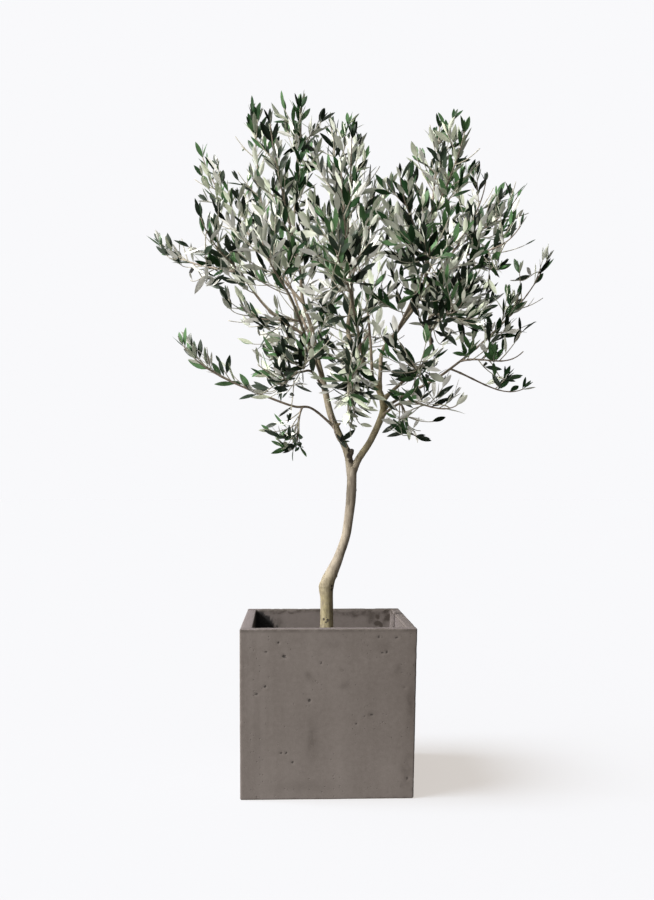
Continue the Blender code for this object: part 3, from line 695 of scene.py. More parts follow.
clay = Finish("cast_clay", Roughness=0.86)
clouds = clay.cloud(7, 4, 0.55, warp=0.4)
streaks = clay.cloud(20, 3, 0.6, stretch=(1, 1, 0.07))
grain = clay.cloud(420, 2, 0.7)
speckle = clay.cloud(95, 3, 0.65)
ragged = clay.cloud(60, 3, 0.6)
height, rightward = clay.along("Z"), clay.along("X")
front = 1 - clay.along("Y").from_to(-0.186, -0.178)
pore_cells = clay.cells(150)
pore_pick = clay.node("ShaderNodeSeparateColor", None, {0: clay.cells(150, output="Color")})
pore_crowd = clay.cloud(16, 2, 0.5)
pores = (1 - pore_cells.from_to(0.10, 0.28)) * (pore_pick + (pore_crowd - 0.5) * 1.1).from_to(0.84, 0.90)
lower_left = (1 - rightward.from_to(-0.10, 0.02)) * (1 - height.from_to(0.05, 0.22))
tone = clouds * 0.28 + streaks * 0.22 + speckle * 0.28 + grain * 0.22 + clay.mark("edge") * 0.03 - 0.04
# painted shade: the tone darkens towards the right, and more in a ragged strip at the right edge
tone = tone - rightward.from_to(-0.16, 0.19) * 0.13 - rightward.from_to(0.165, 0.190) * front * ragged * 0.28
tone = tone + streaks.from_to(0.52, 0.64) * lower_left * 0.12 + (1 - height.from_to(0.01, 0.16)) * 0.08
tone = tone + (streaks.from_to(0.40, 0.62) - 0.5) * (1 - rightward.from_to(-0.17, -0.06)) * 0.12
broken = ragged.from_to(0.25, 0.60) * 0.45 + speckle.from_to(0.36, 0.56) * 0.45
# painted shade in pits and pores
hollow = (clay.mark("pit").from_to(0.08, 0.45) * 0.82 + pores * 0.36).from_to(0.0, 1.0)
clay_colour = clay.layers(
    clay.mix(tone.from_to(0.14, 0.68), CLAY_DARK, CLAY_PALE),
    # painted light on the wall tops and the inner right wall, and paler clay
    (clay.mark("pale") * (0.55 + ragged * 0.5), CLAY_PAINTED_LIGHT_AND_PALE),
    # stains, and painted shade under the front's lip
    (clay.mark("stain") * broken, CLAY_STAIN_AND_SHADE),
    # painted shadow, nearly black
    (clay.mark("damp") * 0.99, CLAY_PAINTED_SHADOW),
    # painted shade in pits and pores
    (hollow, CLAY_PIT_SHADE),
)
clay_finish = clay.wear(
    colour=clay_colour,
    roughness=0.80 + grain * 0.12,
    relief=grain * 0.25 + speckle * 0.35 - pores * 0.8,
    depth=0.0008,
    strength=0.75,
)
finished(planter_piece, "cast_clay", "planter", finish=clay_finish)

# %% [markdown]
# The soil is dark potting mix. It fills the tub to a few centimetres under the rim and meets the wall
# all round. One surface gives its ups and downs, a grid lifted by noise of three sizes, and its sides go
# down to the tub's floor so that it is closed.

# %% Soil surface
SOIL_STEPS = 150
SOIL_LUMPS = ((0.0035, 0.06, 11), (0.0016, 0.014, 12), (0.0012, 0.005, 13))  # in the same way as WAVES
MOUND = (0.003, 0.035, 0.004)  # x of the soil's rise round the trunk, its spread and its height
SOIL_BED = 0.002  # how much lower the rest lies


def soil_surface():
    """A square grid with height = sum of noise, and a ring of points at the tub's floor below its edge."""
    side = outer_half(SOIL_TOP) - WALL - CLEAR
    line = np.linspace(-side, side, SOIL_STEPS)
    x, y = np.meshgrid(line, line, indexing="ij")
    top = np.column_stack([x.ravel(), y.ravel(), np.full(x.size, SOIL_TOP)])
    lift = ripples(top, SOIL_LUMPS)
    mound = bell(np.linalg.norm(top[:, :2] - (MOUND[0], 0), axis=1) / MOUND[1])
    by_wall = np.abs(top[:, :2]).max(axis=1) > side - 0.002
    top[:, 2] += np.where(by_wall, lift * 0.4, lift)
    top[:, 2] += MOUND[2] * mound - SOIL_BED
    number = np.arange(SOIL_STEPS**2).reshape(SOIL_STEPS, SOIL_STEPS)
    quads = np.stack([number[:-1, :-1], number[1:, :-1], number[1:, 1:], number[:-1, 1:]], axis=-1)
    rim = np.concatenate([number[:-1, 0], number[-1, :-1], number[:0:-1, -1], number[0, :0:-1]])
    low = top[rim] * (0.985, 0.985, 0) + (0, 0, PLANTER_FLOOR + CLEAR)
    below = len(top) + np.arange(len(rim))
    skirt = np.stack([rim, below, np.roll(below, -1), np.roll(rim, -1)], axis=-1)
    middle = len(top) + len(rim)
    base = np.stack([below, np.full(len(rim), middle), np.roll(below, -1)], axis=-1)
    points = np.vstack([top, low, [(0, 0, PLANTER_FLOOR + CLEAR)]])
    return points, np.concatenate([quads.reshape(-1, 4), skirt]), base


soil_shape = soil_surface()
soil_piece = mesh_object("soil_surface", *soil_shape)

# %% [markdown]
# Loose crumbs lie on the soil. Each is a small ball whose points are pushed in and out by noise, and all
# are joined in one piece. There are many small ones and few large ones: size = least + more * draw^3.

# %% Soil crumbs
CRUMBS = 900
CRUMB_SIZE = (0.0011, 0.0030)  # the smallest, and how much the largest have more


def ball(rings=4, around=7):
    """A small closed ball: rings of points at even heights, and a pole at each end."""
    tilt = np.linspace(-math.pi / 2, math.pi / 2, rings + 2)[1:-1, None]
    turn = np.linspace(0, 2 * math.pi, around, endpoint=False)
    level = np.cos(tilt)
    grid = np.stack([level * np.cos(turn), level * np.sin(turn), np.sin(tilt) + 0 * turn], axis=-1)
    return np.vstack([[(0, 0, -1)], grid.reshape(-1, 3), [(0, 0, 1)]]), ring_faces(rings, around)


def scatter(shape, faces, centres, sizes, seed):
    """Copies of a shape at each centre, each point pushed in or out by noise of its own place."""
    points = centres[:, None] + shape[None] * sizes[:, None]
    bulge = 1 + 0.45 * noise(points.reshape(-1, 3), 0.0025, seed).reshape(points.shape[:2])
    points = centres[:, None] + shape[None] * sizes[:, None] * bulge[..., None]
    offset = (np.arange(len(centres)) * len(shape))[:, None, None]
    return points.reshape(-1, 3), (faces[0] + offset).reshape(-1, 4), (faces[1] + offset).reshape(-1, 3)


dice = np.random.default_rng(5)
crumb_shape, crumb_faces = ball()
crumb_ground = soil_shape[0][dice.choice(SOIL_STEPS**2, CRUMBS, replace=False)]
crumb_size = CRUMB_SIZE[0] + CRUMB_SIZE[1] * dice.random(CRUMBS)[:, None] ** 3
crumb_size = crumb_size * (1 + 0.3 * dice.random((CRUMBS, 3)))
within = np.abs(crumb_ground[:, :2]).max(axis=1) < outer_half(SOIL_TOP) - WALL - 0.006
crumb_centres = crumb_ground + crumb_size * (0, 0, 0.35)
crumbs_piece = mesh_object("soil_crumbs", *scatter(
    crumb_shape, crumb_faces, crumb_centres[within], crumb_size[within], 14))

# %% [markdown]
# Damp soil is nearly black, and dry bits are brown. One noise drives the colour and the relief, so what
# stands out is dry.

# %% Potting soil
SOIL_DARK, SOIL_PALE = (0.016, 0.010, 0.007), (0.092, 0.062, 0.042)

soil = Finish("potting_soil", Roughness=0.95)
soil_tone = soil.cloud(60, 4, 0.65) * 0.5 + soil.cloud(380, 2, 0.6) * 0.5
soil_finish = soil.wear(
    colour=soil.mix(soil_tone.from_to(0.30, 0.72), SOIL_DARK, SOIL_PALE),
    roughness=0.86 + soil_tone * 0.12,
    relief=soil_tone,
    depth=0.0012,
    strength=0.7,
)
for piece in (soil_piece, crumbs_piece):
    finished(piece, "potting_soil", "potting_soil", finish=soil_finish)

# %% [markdown]
# A tree is a set of curves first. A path is an array with one row, x, y, z and radius, for each of its
# points. Wood follows smooth curves through a few bends (Catmull-Rom: each stretch leaves a bend in the
# direction from the bend before it to the one after). Young stems are Bezier curves, because what is
# known of them is where they start, where they end and the directions there.

# %% Curves
UP = np.array([0.0, 0.0, 1.0])


def unit(vector):
    """A vector, or each row of vectors, at length one."""
    return vector / np.linalg.norm(vector, axis=-1, keepdims=True)


def lengths_along(path):
    return np.concatenate([[0.0], np.cumsum(np.linalg.norm(np.diff(path[:, :3], axis=0), axis=1))])


def resample(path, step):
    """The rows of a path about a step apart."""
    along = lengths_along(path)
    wanted = np.linspace(0, along[-1], max(3, round(along[-1] / step) + 1))
    return np.column_stack([np.interp(wanted, along, path[:, i]) for i in range(4)])


def smooth_path(bends, step):
    """The smooth curve through the bends, in rows about a step apart."""
    knots = np.array(bends, float)
    knots = np.vstack([2 * knots[0] - knots[1], knots, 2 * knots[-1] - knots[-2]])
    t = np.linspace(0, 1, 24, endpoint=False)[None, :, None]
    a, b, c, d = (knots[i:len(knots) - 3 + i, None] for i in range(4))
    rows = 0.5 * (2 * b + (c - a) * t + (2 * a - 5 * b + 4 * c - d) * t**2 + (3 * b - 3 * c + d - a) * t**3)
    return resample(np.vstack([rows.reshape(-1, 4), knots[-2:-1]]), step)


def bezier_path(start, start_way, end, end_way, radii, step):
    """The curve that leaves start along start_way and reaches end along end_way."""
    handle = np.linalg.norm(end - start) / 3
    t = np.linspace(0, 1, 40)[:, None]
    points = (
        (1 - t) ** 3 * start
        + 3 * t * (1 - t) ** 2 * (start + start_way * handle)
        + 3 * t**2 * (1 - t) * (end - end_way * handle)
        + t**3 * end
    )
    return resample(np.hstack([points, radii[0] + (radii[1] - radii[0]) * t]), step)


def place_on(path, share):
    """The point, direction and radius at a share of a path's length; share may be an array."""
    along = lengths_along(path)
    wanted = np.asarray(share) * along[-1]
    row = np.stack([np.interp(wanted, along, path[:, i]) for i in range(4)], axis=-1)
    index = np.clip(np.searchsorted(along, wanted, side="right") - 1, 0, len(path) - 2)
    return row[..., :3], unit(path[index + 1, :3] - path[index, :3]), row[..., 3]


# %% [markdown]
# Wood is a round profile carried along a path. At every row two directions are needed across the path.
# They come from one fixed axis, the one that the path runs least along, so the profile never spins.
# point = middle + radius * (cos(turn) * across + sin(turn) * other).

# %% Tubes
TUBE_END = 0.35  # how far a tube's pole stands out, as a share of its radius


def tube(path, around, swell=None):
    """Points of a closed tube: a pole, a ring for each row, and a pole. swell scales the radius of each
    row and turn."""
    middle, radius = path[:, None, :3], path[:, None, 3:]
    tangents = unit(np.gradient(path[:, :3], axis=0))
    chord = path[-1, :3] - path[0, :3]
    across = unit(np.cross(tangents, np.eye(3)[np.argmin(np.abs(chord))]))
    other = np.cross(tangents, across)
    turn = np.linspace(0, 2 * math.pi, around, endpoint=False)[None, :, None]
    if swell is not None:
        radius = radius * swell(path, turn[0, :, 0])[..., None]
    rings = middle + radius * (np.cos(turn) * across[:, None] + np.sin(turn) * other[:, None])
    poles = path[[0, -1], :3] + tangents[[0, -1]] * path[[0, -1], 3:] * [[-TUBE_END], [TUBE_END]]
    return np.vstack([poles[:1], rings.reshape(-1, 3), poles[1:]])


def joined_tubes(paths, around, swell=None):
    """Many tubes as one set of points, quads and triangles."""
    points, quads, triangles, start = [], [], [], 0
    for path in paths:
        made = tube(path, around, swell)
        four, three = ring_faces(len(path), around)
        points.append(made)
        quads.append(four + start)
        triangles.append(three + start)
        start += len(made)
    return np.vstack(points), np.vstack(quads), np.vstack(triangles)


# %% [markdown]
# The trunk rises from the soil with a slight flare, straight to a knee where it was once pruned back.
# From the knee it leans to the right in a long curve, and forks into two boughs. A dark stub of a third,
# sawn off, sits in the fork. The bends below are those of the solid model.

# %% Trunk and boughs
TRUNK_BENDS = (  # x, y, z and radius, in tenths of a millimetre
    (30, 0, 3090, 205), (30, 0, 3350, 165), (30, 0, 4120, 146), (20, 0, 4460, 180), (150, 0, 4760, 146),
    (330, 20, 5180, 114), (490, 40, 5660, 106), (560, 40, 6090, 108), (610, 20, 6550, 116),
    (620, 0, 7000, 115), (620, 0, 7240, 118),
)
BOUGHS = {  # the same
    "bough_left": (
        (600, 0, 7060, 100), (530, 0, 7540, 88), (370, 0, 7940, 80), (130, 50, 8490, 80),
        (-30, 100, 9200, 71), (-170, 150, 9800, 60), (-310, 200, 10520, 50), (-530, 200, 11230, 41),
        (-600, 100, 11920, 32), (-740, 0, 12600, 24),
    ),
    "bough_right": (
        (640, 0, 7120, 96), (780, 0, 7440, 82), (1070, -50, 7890, 78), (1330, -100, 8480, 80),
        (1350, -120, 8760, 76), (1250, -150, 9060, 70), (990, -200, 9430, 63), (690, -200, 9990, 58),
        (520, -200, 10460, 50), (620, -200, 11280, 40), (530, -100, 12120, 31), (490, 0, 13090, 24),
    ),
}
KNOBS = (  # the pruned stub, the burl at the knee, and the roots of lost twigs, in the same way
    ((520, -20, 7410, 70), (590, -30, 7570, 58), (630, -40, 7670, 46)),
    ((0, 0, 4400, 120), (-90, 0, 4455, 85), (-150, -10, 4460, 36)),
    ((610, 0, 6680, 85), (690, -10, 6705, 42), (735, -10, 6720, 24)),
    ((120, 0, 4640, 125), (240, -20, 4690, 56), (270, -20, 4710, 32)),
    ((260, 0, 8240, 60), (330, -40, 8270, 30), (355, -50, 8290, 18)),
)
WOOD_STEP = 0.004
KNOB_STEP = 0.002
TRUNK_SIDES, LIMB_SIDES = 24, 12
VOXEL = 0.00125
SMOOTHING = 6

paths = {name: smooth_path(metres(bends, TENTHS), WOOD_STEP) for name, bends in BOUGHS.items()}
trunk_path = smooth_path(metres(TRUNK_BENDS, TENTHS), WOOD_STEP)
knob_paths = [smooth_path(metres(knob, TENTHS), KNOB_STEP) for knob in KNOBS]
trunk_shape = joined_tubes([trunk_path, *paths.values(), *knob_paths], TRUNK_SIDES)
rough_wood = mesh_object("trunk_and_boughs", *trunk_shape)

# %% [markdown]
# Where tubes cross, a crease would give them away. So they are melted into one skin: the Remesh modifier
# wraps a grid of small voxels round them all, and a few rounds of smoothing soften the crotch of the fork
# and the root of each knob. The result is applied, and is one closed surface.

# %% One skin
def melted(piece, voxel, rounds):
    """The piece's mesh, wrapped in one skin of even voxels and smoothed."""
    wrap = piece.modifiers.new("wrap", "REMESH")
    wrap.mode = "VOXEL"
    wrap.voxel_size = voxel
    soften = piece.modifiers.new("soften", "SMOOTH")
    soften.iterations = rounds
    bpy.context.view_layer.update()
    skin = bpy.data.meshes.new_from_object(piece.evaluated_get(bpy.context.evaluated_depsgraph_get()))
    piece.modifiers.clear()
    piece.data = skin
    skin.shade_smooth()
    return piece


melted(rough_wood, VOXEL, SMOOTHING)
print("skin points", len(rough_wood.data.vertices))

# %% [markdown]
# Olive bark this young is smooth, with long shallow ridges, small raised pores, and fine wrinkles under
# the boughs and at the knee. The relief is noise stretched along the wood, and the pores are round bumps
# at seeded spots. A scar is a hollow with a raised ring round it, as where twigs were lost or the wood was
# cut. Two of them sit side by side near the soil, and one is an eye on the knee.
# Three marks go with each point for the finish: ochre, where algae tint the foot and the boughs, scar,
# and thin, which grows towards the tips.

# %% Bark relief
SCARS = (  # x, y, z and radius, in tenths of a millimetre
    (-55, -150, 3682, 36), (50, -155, 3659, 35), (-35, -160, 3630, 20), (-5, -160, 3612, 22),
    (26, -160, 3620, 20), (-60, -155, 3735, 22), (-20, -160, 3745, 16), (15, -160, 3722, 16),
    (600, -80, 7640, 80), (585, -80, 7520, 80), (600, -80, 7400, 60), (550, -105, 6300, 20),
    (-175, -10, 4460, 30), (750, -10, 6725, 26), (135, -135, 4460, 30), (145, -130, 4380, 34),
    (0, 165, 3900, 35), (390, 130, 5450, 26), (520, 130, 7000, 24),
)
KNEE_DENT = (-0.014, -0.002, 0.4595)  # the knee is a little narrower here, above its burl
KNEE_DENT_DEPTH, KNEE_DENT_SIZE = 0.0040, 0.0075
WRINKLES = (  # how strong, the size and seed of their noise, the height they are at and how far they spread
    (1.0, (0.02, 0.02, 0.0030), 25, 0.745, 0.03),
    (1.6, (0.012, 0.012, 0.0038), 26, 0.452, 0.020),
)
PORE_CELL = np.array([0.0075, 0.0075, 0.010])  # the lattice cell that may hold a pore
PORE_SHARE = 0.35  # of the cells hold one
TRUNK_RIDGES, LIMB_RIDGES = 0.0042, 0.0030  # how wide the bark's ridges are
ALONG_WOOD = np.array([1, 1, 4.5])  # how they are stretched
OCHRE_BY_HEIGHT = (330, 440, 490, 700, 780, 950), (1.0, 0.90, 0.15, 0.15, 0.65, 0.60)


def spots(points, size, seed, share):
    """1 at seeded spots, 0 away from them: each cell of a lattice holds one, in a share of the cells."""
    scaled = points / size
    home = np.floor(scaled)
    found = np.zeros(len(points))
    for near in np.ndindex(3, 3, 3):
        cell = home + near - 1
        jitter = np.stack([noise(cell + 0.5, 1.0, seed + k) for k in range(3)], axis=-1) * 0.45 + 0.5
        picked = noise(cell + 0.5, 1.0, seed + 3) > 1 - 2 * share
        distance = np.linalg.norm(scaled - cell - jitter, axis=1)
        found = np.maximum(found, np.where(picked, 1 - smooth_step(distance / 0.36), 0))
    return found


def bark(piece, thick, ridge_step):
    """Pushes bark points in and out, and keeps their marks. thick is the wood's radius at each point."""
    places, normals = read_points(piece), read_points(piece, "normal")
    ridges = noise(places, ridge_step * ALONG_WOOD, 21) + 0.5 * noise(places, ridge_step / 2 * ALONG_WOOD, 22)
    broad = noise(places, (0.018, 0.018, 0.05), 23)
    pores = spots(places, PORE_CELL, 24, PORE_SHARE)
    x, y, z = places.T
    wrinkles = sum(strong * noise(places, size, seed) * bell((z - height) / spread)
                   for strong, size, seed, height, spread in WRINKLES)
    scar = np.zeros(len(places))
    hollow = np.zeros(len(places))
    for *centre, radius in metres(SCARS, TENTHS):
        away = np.linalg.norm(places - centre, axis=1) / radius
        scar = np.maximum(scar, 1 - smooth_step((away - 0.8) / 0.6))
        hollow += 0.10 * radius * bell((away - 1.1) / 0.3) - 0.22 * radius * (1 - smooth_step(away / 0.8))
    hollow -= KNEE_DENT_DEPTH * bell(np.linalg.norm(places - KNEE_DENT, axis=1) / KNEE_DENT_SIZE)
    shift = thick * (0.014 * ridges + 0.050 * broad) + 0.00032 * pores + 0.00034 * wrinkles + hollow
    move_points(piece, places + normals * shift[:, None])
    heights, tint = OCHRE_BY_HEIGHT
    tinted = np.interp(z, metres(heights), tint)
    tinted += 0.35 * smooth_step((z - 0.73) / 0.03) * smooth_step((x - 0.062) / 0.012)  # the right bough
    ochre = tinted * (0.80 + 0.35 * noise(places, (0.02, 0.02, 0.05), 27))
    keep_marks(piece, ochre=ochre.clip(0, 1), scar=scar, thin=np.interp(thick, (0.003, 0.0065), (1, 0)))


def nearest_radius(places, rows):
    """The radius of the row that each place is nearest to."""
    found = np.empty(len(places))
    for part in np.array_split(np.arange(len(places)), len(places) // 4000 + 1):
        gaps = np.linalg.norm(places[part, None] - rows[None, :, :3], axis=2)
        found[part] = rows[gaps.argmin(axis=1), 3]
    return found


wood_rows = np.vstack([trunk_path, *paths.values()])
bark(rough_wood, nearest_radius(read_points(rough_wood), wood_rows), TRUNK_RIDGES)

# %% [markdown]
# Limbs leave the boughs. Each starts in its parent's middle, swells in a collar where it comes out, and
# tapers to its tip: radius = foot + (tip - foot) * share of length, times 1 + collar * e^(-distance / size).

# %% Limbs
LIMBS = (  # name, parent, share of the parent's length, radius at its foot in metres, bends in millimetres
    ("limb_low_left", "bough_left", 0.2, 0.003, ((-32, -15, 862), (-76, -30, 866), (-148, -50, 890))),
    ("limb_left_arm", "bough_left", 0.5, 0.004,
     ((-53, 5, 1038), (-107, 0, 1072), (-152, 0, 1116), (-199, 0, 1182))),
    ("limb_left_rise", "bough_left", 0.74, 0.0035, ((-84, 35, 1156), (-107, 40, 1185), (-141, 50, 1235))),
    ("limb_front_left", "bough_left", 0.42, 0.0036, ((-49, -90, 1022), (-78, -200, 1078))),
    ("limb_back_left", "bough_left", 0.56, 0.0036, ((-52, 100, 1090), (-84, 200, 1198))),
    ("limb_inner_left", "bough_left", 0.36, 0.003, ((-32, -40, 944), (-60, -80, 939))),
    ("limb_low_right", "bough_right", 0.235, 0.003, ((163, -40, 868), (193, -60, 876))),
    ("limb_right_low", "bough_right", 0.265, 0.0036, ((203, 20, 905), (266, 30, 938), (346, 40, 997))),
    ("limb_right_mid", "bough_right", 0.295, 0.0042,
     ((173, -30, 918), (216, -60, 952), (237, -80, 995), (231, -100, 1060))),
    ("limb_right_rise", "bough_right", 0.33, 0.005,
     ((130, 0, 950), (137, 10, 1004), (173, 15, 1052), (224, 20, 1128), (246, 20, 1221), (254, 10, 1340))),
    ("limb_back_mid", "bough_right", 0.375, 0.0038, ((113, 100, 1055), (110, 220, 1204))),
    ("limb_front_mid", "bough_right", 0.43, 0.0038, ((69, -120, 1028), (45, -220, 1096))),
    ("limb_front_right", "limb_right_rise", 0.34, 0.0032, ((193, -100, 1100), (209, -200, 1149))),
    ("limb_back_right", "limb_right_rise", 0.4, 0.0032, ((230, 100, 1154), (281, 200, 1253))),
    ("limb_right_far", "limb_right_rise", 0.53, 0.0034, ((276, 30, 1200), (329, 30, 1272))),
)
LIMB_TIP_RADIUS = 0.0026
COLLAR = 0.9
COLLAR_LENGTH = 0.007


def limb_path(parent_path, share, foot_radius, bends):
    """A limb's path from its parent's middle, tapering to its tip, with a collar where it leaves."""
    start, _, parent_radius = place_on(parent_path, share)
    path = smooth_path([(*start, 0.0)] + [(*bend, 0.0) for bend in metres(bends)], WOOD_STEP)
    along = lengths_along(path)
    path[:, 3] = foot_radius + (LIMB_TIP_RADIUS - foot_radius) * along / along[-1]
    path[:, 3] *= 1 + COLLAR * np.exp(-np.maximum(along - parent_radius, 0) / COLLAR_LENGTH)
    path[:, 3] = np.minimum(path[:, 3], parent_radius * 0.92)
    return path


for name, parent, share, foot_radius, bends in LIMBS:
    paths[name] = limb_path(paths[parent], share, foot_radius, bends)
limb_paths = [paths[limb[0]] for limb in LIMBS]
limb_shape = joined_tubes(limb_paths, LIMB_SIDES)
print("limbs", len(limb_paths))
limbs_piece = mesh_object("limbs", *limb_shape)
bark(limbs_piece, nearest_radius(limb_shape[0], np.vstack(limb_paths)), LIMB_RIDGES)

# %% [markdown]
# The bark is a mottled grey. Ochre, a darker mottle and thin fissures are laid over it where the marks on
# the mesh say so. The noise is stretched along the wood, as its grain is.

# %% Olive bark
BARK = {  # a dark and a pale colour
    "grey": ((0.138, 0.113, 0.088), (0.326, 0.286, 0.236)),
    "ochre": ((0.138, 0.117, 0.052), (0.340, 0.300, 0.174)),
    "thin": ((0.090, 0.066, 0.050), (0.215, 0.172, 0.132)),
}
MOTTLE_COLOUR = (0.112, 0.086, 0.050)
FISSURE_COLOUR = (0.072, 0.054, 0.034)
SCAR_COLOUR = (0.028, 0.020, 0.015)

olive_bark = Finish("olive_bark", Roughness=0.78)
long_grain = olive_bark.cloud(210, 3, 0.6, stretch=(1, 1, 0.26))
patches = olive_bark.cloud(46, 4, 0.6, stretch=(1, 1, 0.55))
fine = olive_bark.cloud(900, 2, 0.6, stretch=(1, 1, 0.6))
lichen = olive_bark.cloud(75, 3, 0.5)
fissures = olive_bark.cloud(330, 3, 0.7, stretch=(1, 1, 0.10))
mottle = olive_bark.cloud(150, 3, 0.6, stretch=(1, 1, 0.6))
shade = (long_grain * 0.30 + patches * 0.55 + fine * 0.15).from_to(0.30, 0.70)
grey_bark, ochre_bark, thin_bark = (olive_bark.mix(shade, *pair) for pair in BARK.values())
ochre_mark = olive_bark.mark("ochre")
bark_colour = olive_bark.layers(
    grey_bark,
    (ochre_mark * lichen.from_to(0.12, 0.50), ochre_bark),
    (ochre_mark * mottle.from_to(0.52, 0.64) * 0.42, MOTTLE_COLOUR),
    (fissures.from_to(0.52, 0.68) * 0.58, FISSURE_COLOUR),
    (olive_bark.mark("thin") * 0.85, thin_bark),
    (olive_bark.mark("scar").from_to(0.30, 0.95) * 0.88, SCAR_COLOUR),
)
bark_finish = olive_bark.wear(
    colour=bark_colour,
    roughness=0.70 + shade * 0.18,
    relief=long_grain * 0.5 + patches * 0.3 + fine * 0.3,
    depth=0.0006,
    strength=0.55,
)
for piece, nodes in ((rough_wood, ["trunk", *BOUGHS]), (limbs_piece, [limb[0] for limb in LIMBS])):
    finished(piece, "olive_bark", *nodes, finish=bark_finish)

# %% [markdown]
# The crown is forty masses of foliage, each on a limb or a bough. The table says where a mass leaves the
# wood, where its furthest leaf ends and how far its shoots spread, as the solid model has it.

# %% Foliage
FOLIAGE = (  # name, limb, share of its length, furthest leaf tip (x, y, z) and spread in millimetres, dip
    ("low_left", "limb_low_left", 1.0, (-340, -120, 1020), 60, -0.2),
    ("hanging", "limb_low_left", 0.5, (-97, -80, 748), 60, -0.3),
    ("left_reach", "limb_left_arm", 1.0, (-418, 100, 1300), 65, -0.45),
    ("left_shoulder", "limb_left_arm", 0.9, (-280, -240, 1273), 95, 0.0),
    ("left_crest", "limb_left_rise", 1.0, (-313, 140, 1535), 95, -0.2),
    ("top_left", "limb_left_rise", 0.8, (-177, 100, 1632), 90, 0.0),
    ("top_left_inner", "bough_left", 0.86, (-128, -260, 1469), 95, 0.0),
    ("summit", "bough_left", 1.0, (-55, -20, 1606), 95, 0.0),
    ("top_mid", "bough_right", 1.0, (17, 160, 1618), 95, -0.2),
    ("top_mid_right", "bough_right", 0.88, (49, -240, 1451), 95, 0.0),
    ("saddle", "bough_right", 0.76, (157, 200, 1470), 95, -0.2),
    ("right_crown", "limb_right_rise", 0.72, (139, -300, 1340), 100, 0.0),
    ("right_peak", "limb_right_rise", 1.0, (290, 120, 1608), 85, 0.0),
    ("right_peak_outer", "limb_right_rise", 0.9, (304, -190, 1485), 85, 0.0),
    ("right_shoulder_high", "limb_right_far", 1.0, (422, 180, 1490), 90, 0.0),
    ("right_shoulder", "limb_right_far", 0.84, (486, 60, 1415), 85, -0.1),
    ("right_mid", "limb_right_far", 0.6, (420, -260, 1252), 95, -0.1),
    ("right_reach", "limb_right_low", 1.0, (566, 100, 1272), 80, -0.2),
    ("right_low", "limb_right_low", 0.9, (459, -140, 1002), 85, -0.1),
    ("right_droop", "limb_right_low", 0.78, (523, 100, 938), 60, -0.45),
    ("low_right_curve", "limb_low_right", 1.0, (317, -140, 880), 60, -0.4),
    ("low_right_hang", "limb_low_right", 0.7, (242, -40, 788), 60, -0.2),
    ("left_inner", "limb_inner_left", 1.0, (-137, -120, 925), 85, 0.1),
    ("left_droop", "limb_front_left", 0.7, (-195, -180, 1077), 75, -0.1),
    ("inner_hang", "bough_left", 0.28, (46, -90, 781), 50, -0.3),
    ("front_left", "limb_front_left", 1.0, (-145, -360, 1194), 105, -0.1),
    ("front_mid", "limb_front_mid", 1.0, (-5, -420, 1197), 105, -0.1),
    ("front_right", "limb_front_right", 1.0, (184, -380, 1191), 105, -0.1),
    ("front_high", "limb_front_mid", 0.8, (20, -320, 1350), 100, 0.0),
    ("front_right_low", "limb_right_mid", 1.0, (284, -300, 1080), 100, -0.2),
    ("mid_right", "limb_right_mid", 0.86, (320, -110, 1150), 95, 0.0),
    ("back_left", "limb_back_left", 1.0, (-180, 360, 1424), 105, -0.1),
    ("back_left_low", "limb_back_left", 0.55, (-130, 290, 1030), 100, -0.25),
    ("back_mid", "limb_back_mid", 1.0, (22, 340, 1500), 110, -0.1),
    ("back_low", "limb_back_mid", 0.5, (60, 360, 1040), 105, -0.25),
    ("back_right", "limb_back_right", 1.0, (298, 370, 1445), 105, -0.1),
    ("back_right_low", "limb_back_right", 0.6, (440, 300, 1144), 100, -0.2),
    ("under_left", "limb_front_left", 0.38, (-60, -230, 945), 90, -0.3),
    ("under_mid", "limb_front_mid", 0.32, (30, -200, 905), 90, -0.35),
    ("under_right", "limb_right_mid", 0.52, (175, -240, 960), 90, -0.3),
)
print("masses of foliage", len(FOLIAGE))

# %% [markdown]
# Each mass grows on one stem, which bends up to the light and ends at the mass's furthest tip. Shoots
# leave the stem at nine places, each turned 137.5 degrees from the last as in real plants, so that none
# shades the next. The rule and its seeds are those of the solid model, which carries every third shoot;
# here all nine grow, with finer side shoots on them.

# %% The rule that foliage grows by
TURN_TO_LIGHT = 0.60
END_LEAF_REACH = 0.034
STEM_RADIUS = (0.0027, 0.0011)
SHOOT_RADIUS = (0.0014, 0.0008)
SIDE_SHOOT_RADIUS = (0.0009, 0.0006)
SHOOTS = 9
SHOOT_SPAN = (0.10, 0.78)
SHOOT_OPENING = math.radians(46)
SHOOT_TURN = math.radians(137.5)
SHOOT_LENGTH = 1.25
SHOOT_TAPER = 0.50
TURN_CHANCE = 0.4  # radians either way
SIDE_SHOOT_LENGTH = 0.42
SIDE_SHOOT_SLANT = 0.9
SIDE_SHOOT_TO_LIGHT = 0.7  # of what other twigs turn
ALONG_PARENT = 0.35  # how much of its parent's direction a stem starts with
TWIG_STEP = 0.007
LEAF_ROOM = 0.048


def path_to_tip(start, way, tip, dip, radii):
    """The path from a place on wood that runs along way, out to where the last leaves before a tip begin."""
    chord = unit(tip - start)
    end_way = unit(chord + UP * TURN_TO_LIGHT)
    start_way = unit(chord + way * ALONG_PARENT + UP * dip)
    return bezier_path(start, start_way, tip - end_way * END_LEAF_REACH, end_way, radii, TWIG_STEP)


def young_path(start, out, length, radii, to_light=1.0):
    """The path of a twig that leaves along out and bends up to the light."""
    end_way = unit(out + UP * TURN_TO_LIGHT * to_light)
    return bezier_path(start, out, start + unit(out + end_way) * length, end_way, radii, TWIG_STEP)


def sideways(way, turn):
    """Directions at right angles to the ways, turned about them."""
    across = unit(np.cross(way, UP + 0.01))
    turn = np.asarray(turn)[..., None]
    return np.cos(turn) * across + np.sin(turn) * np.cross(across, way)


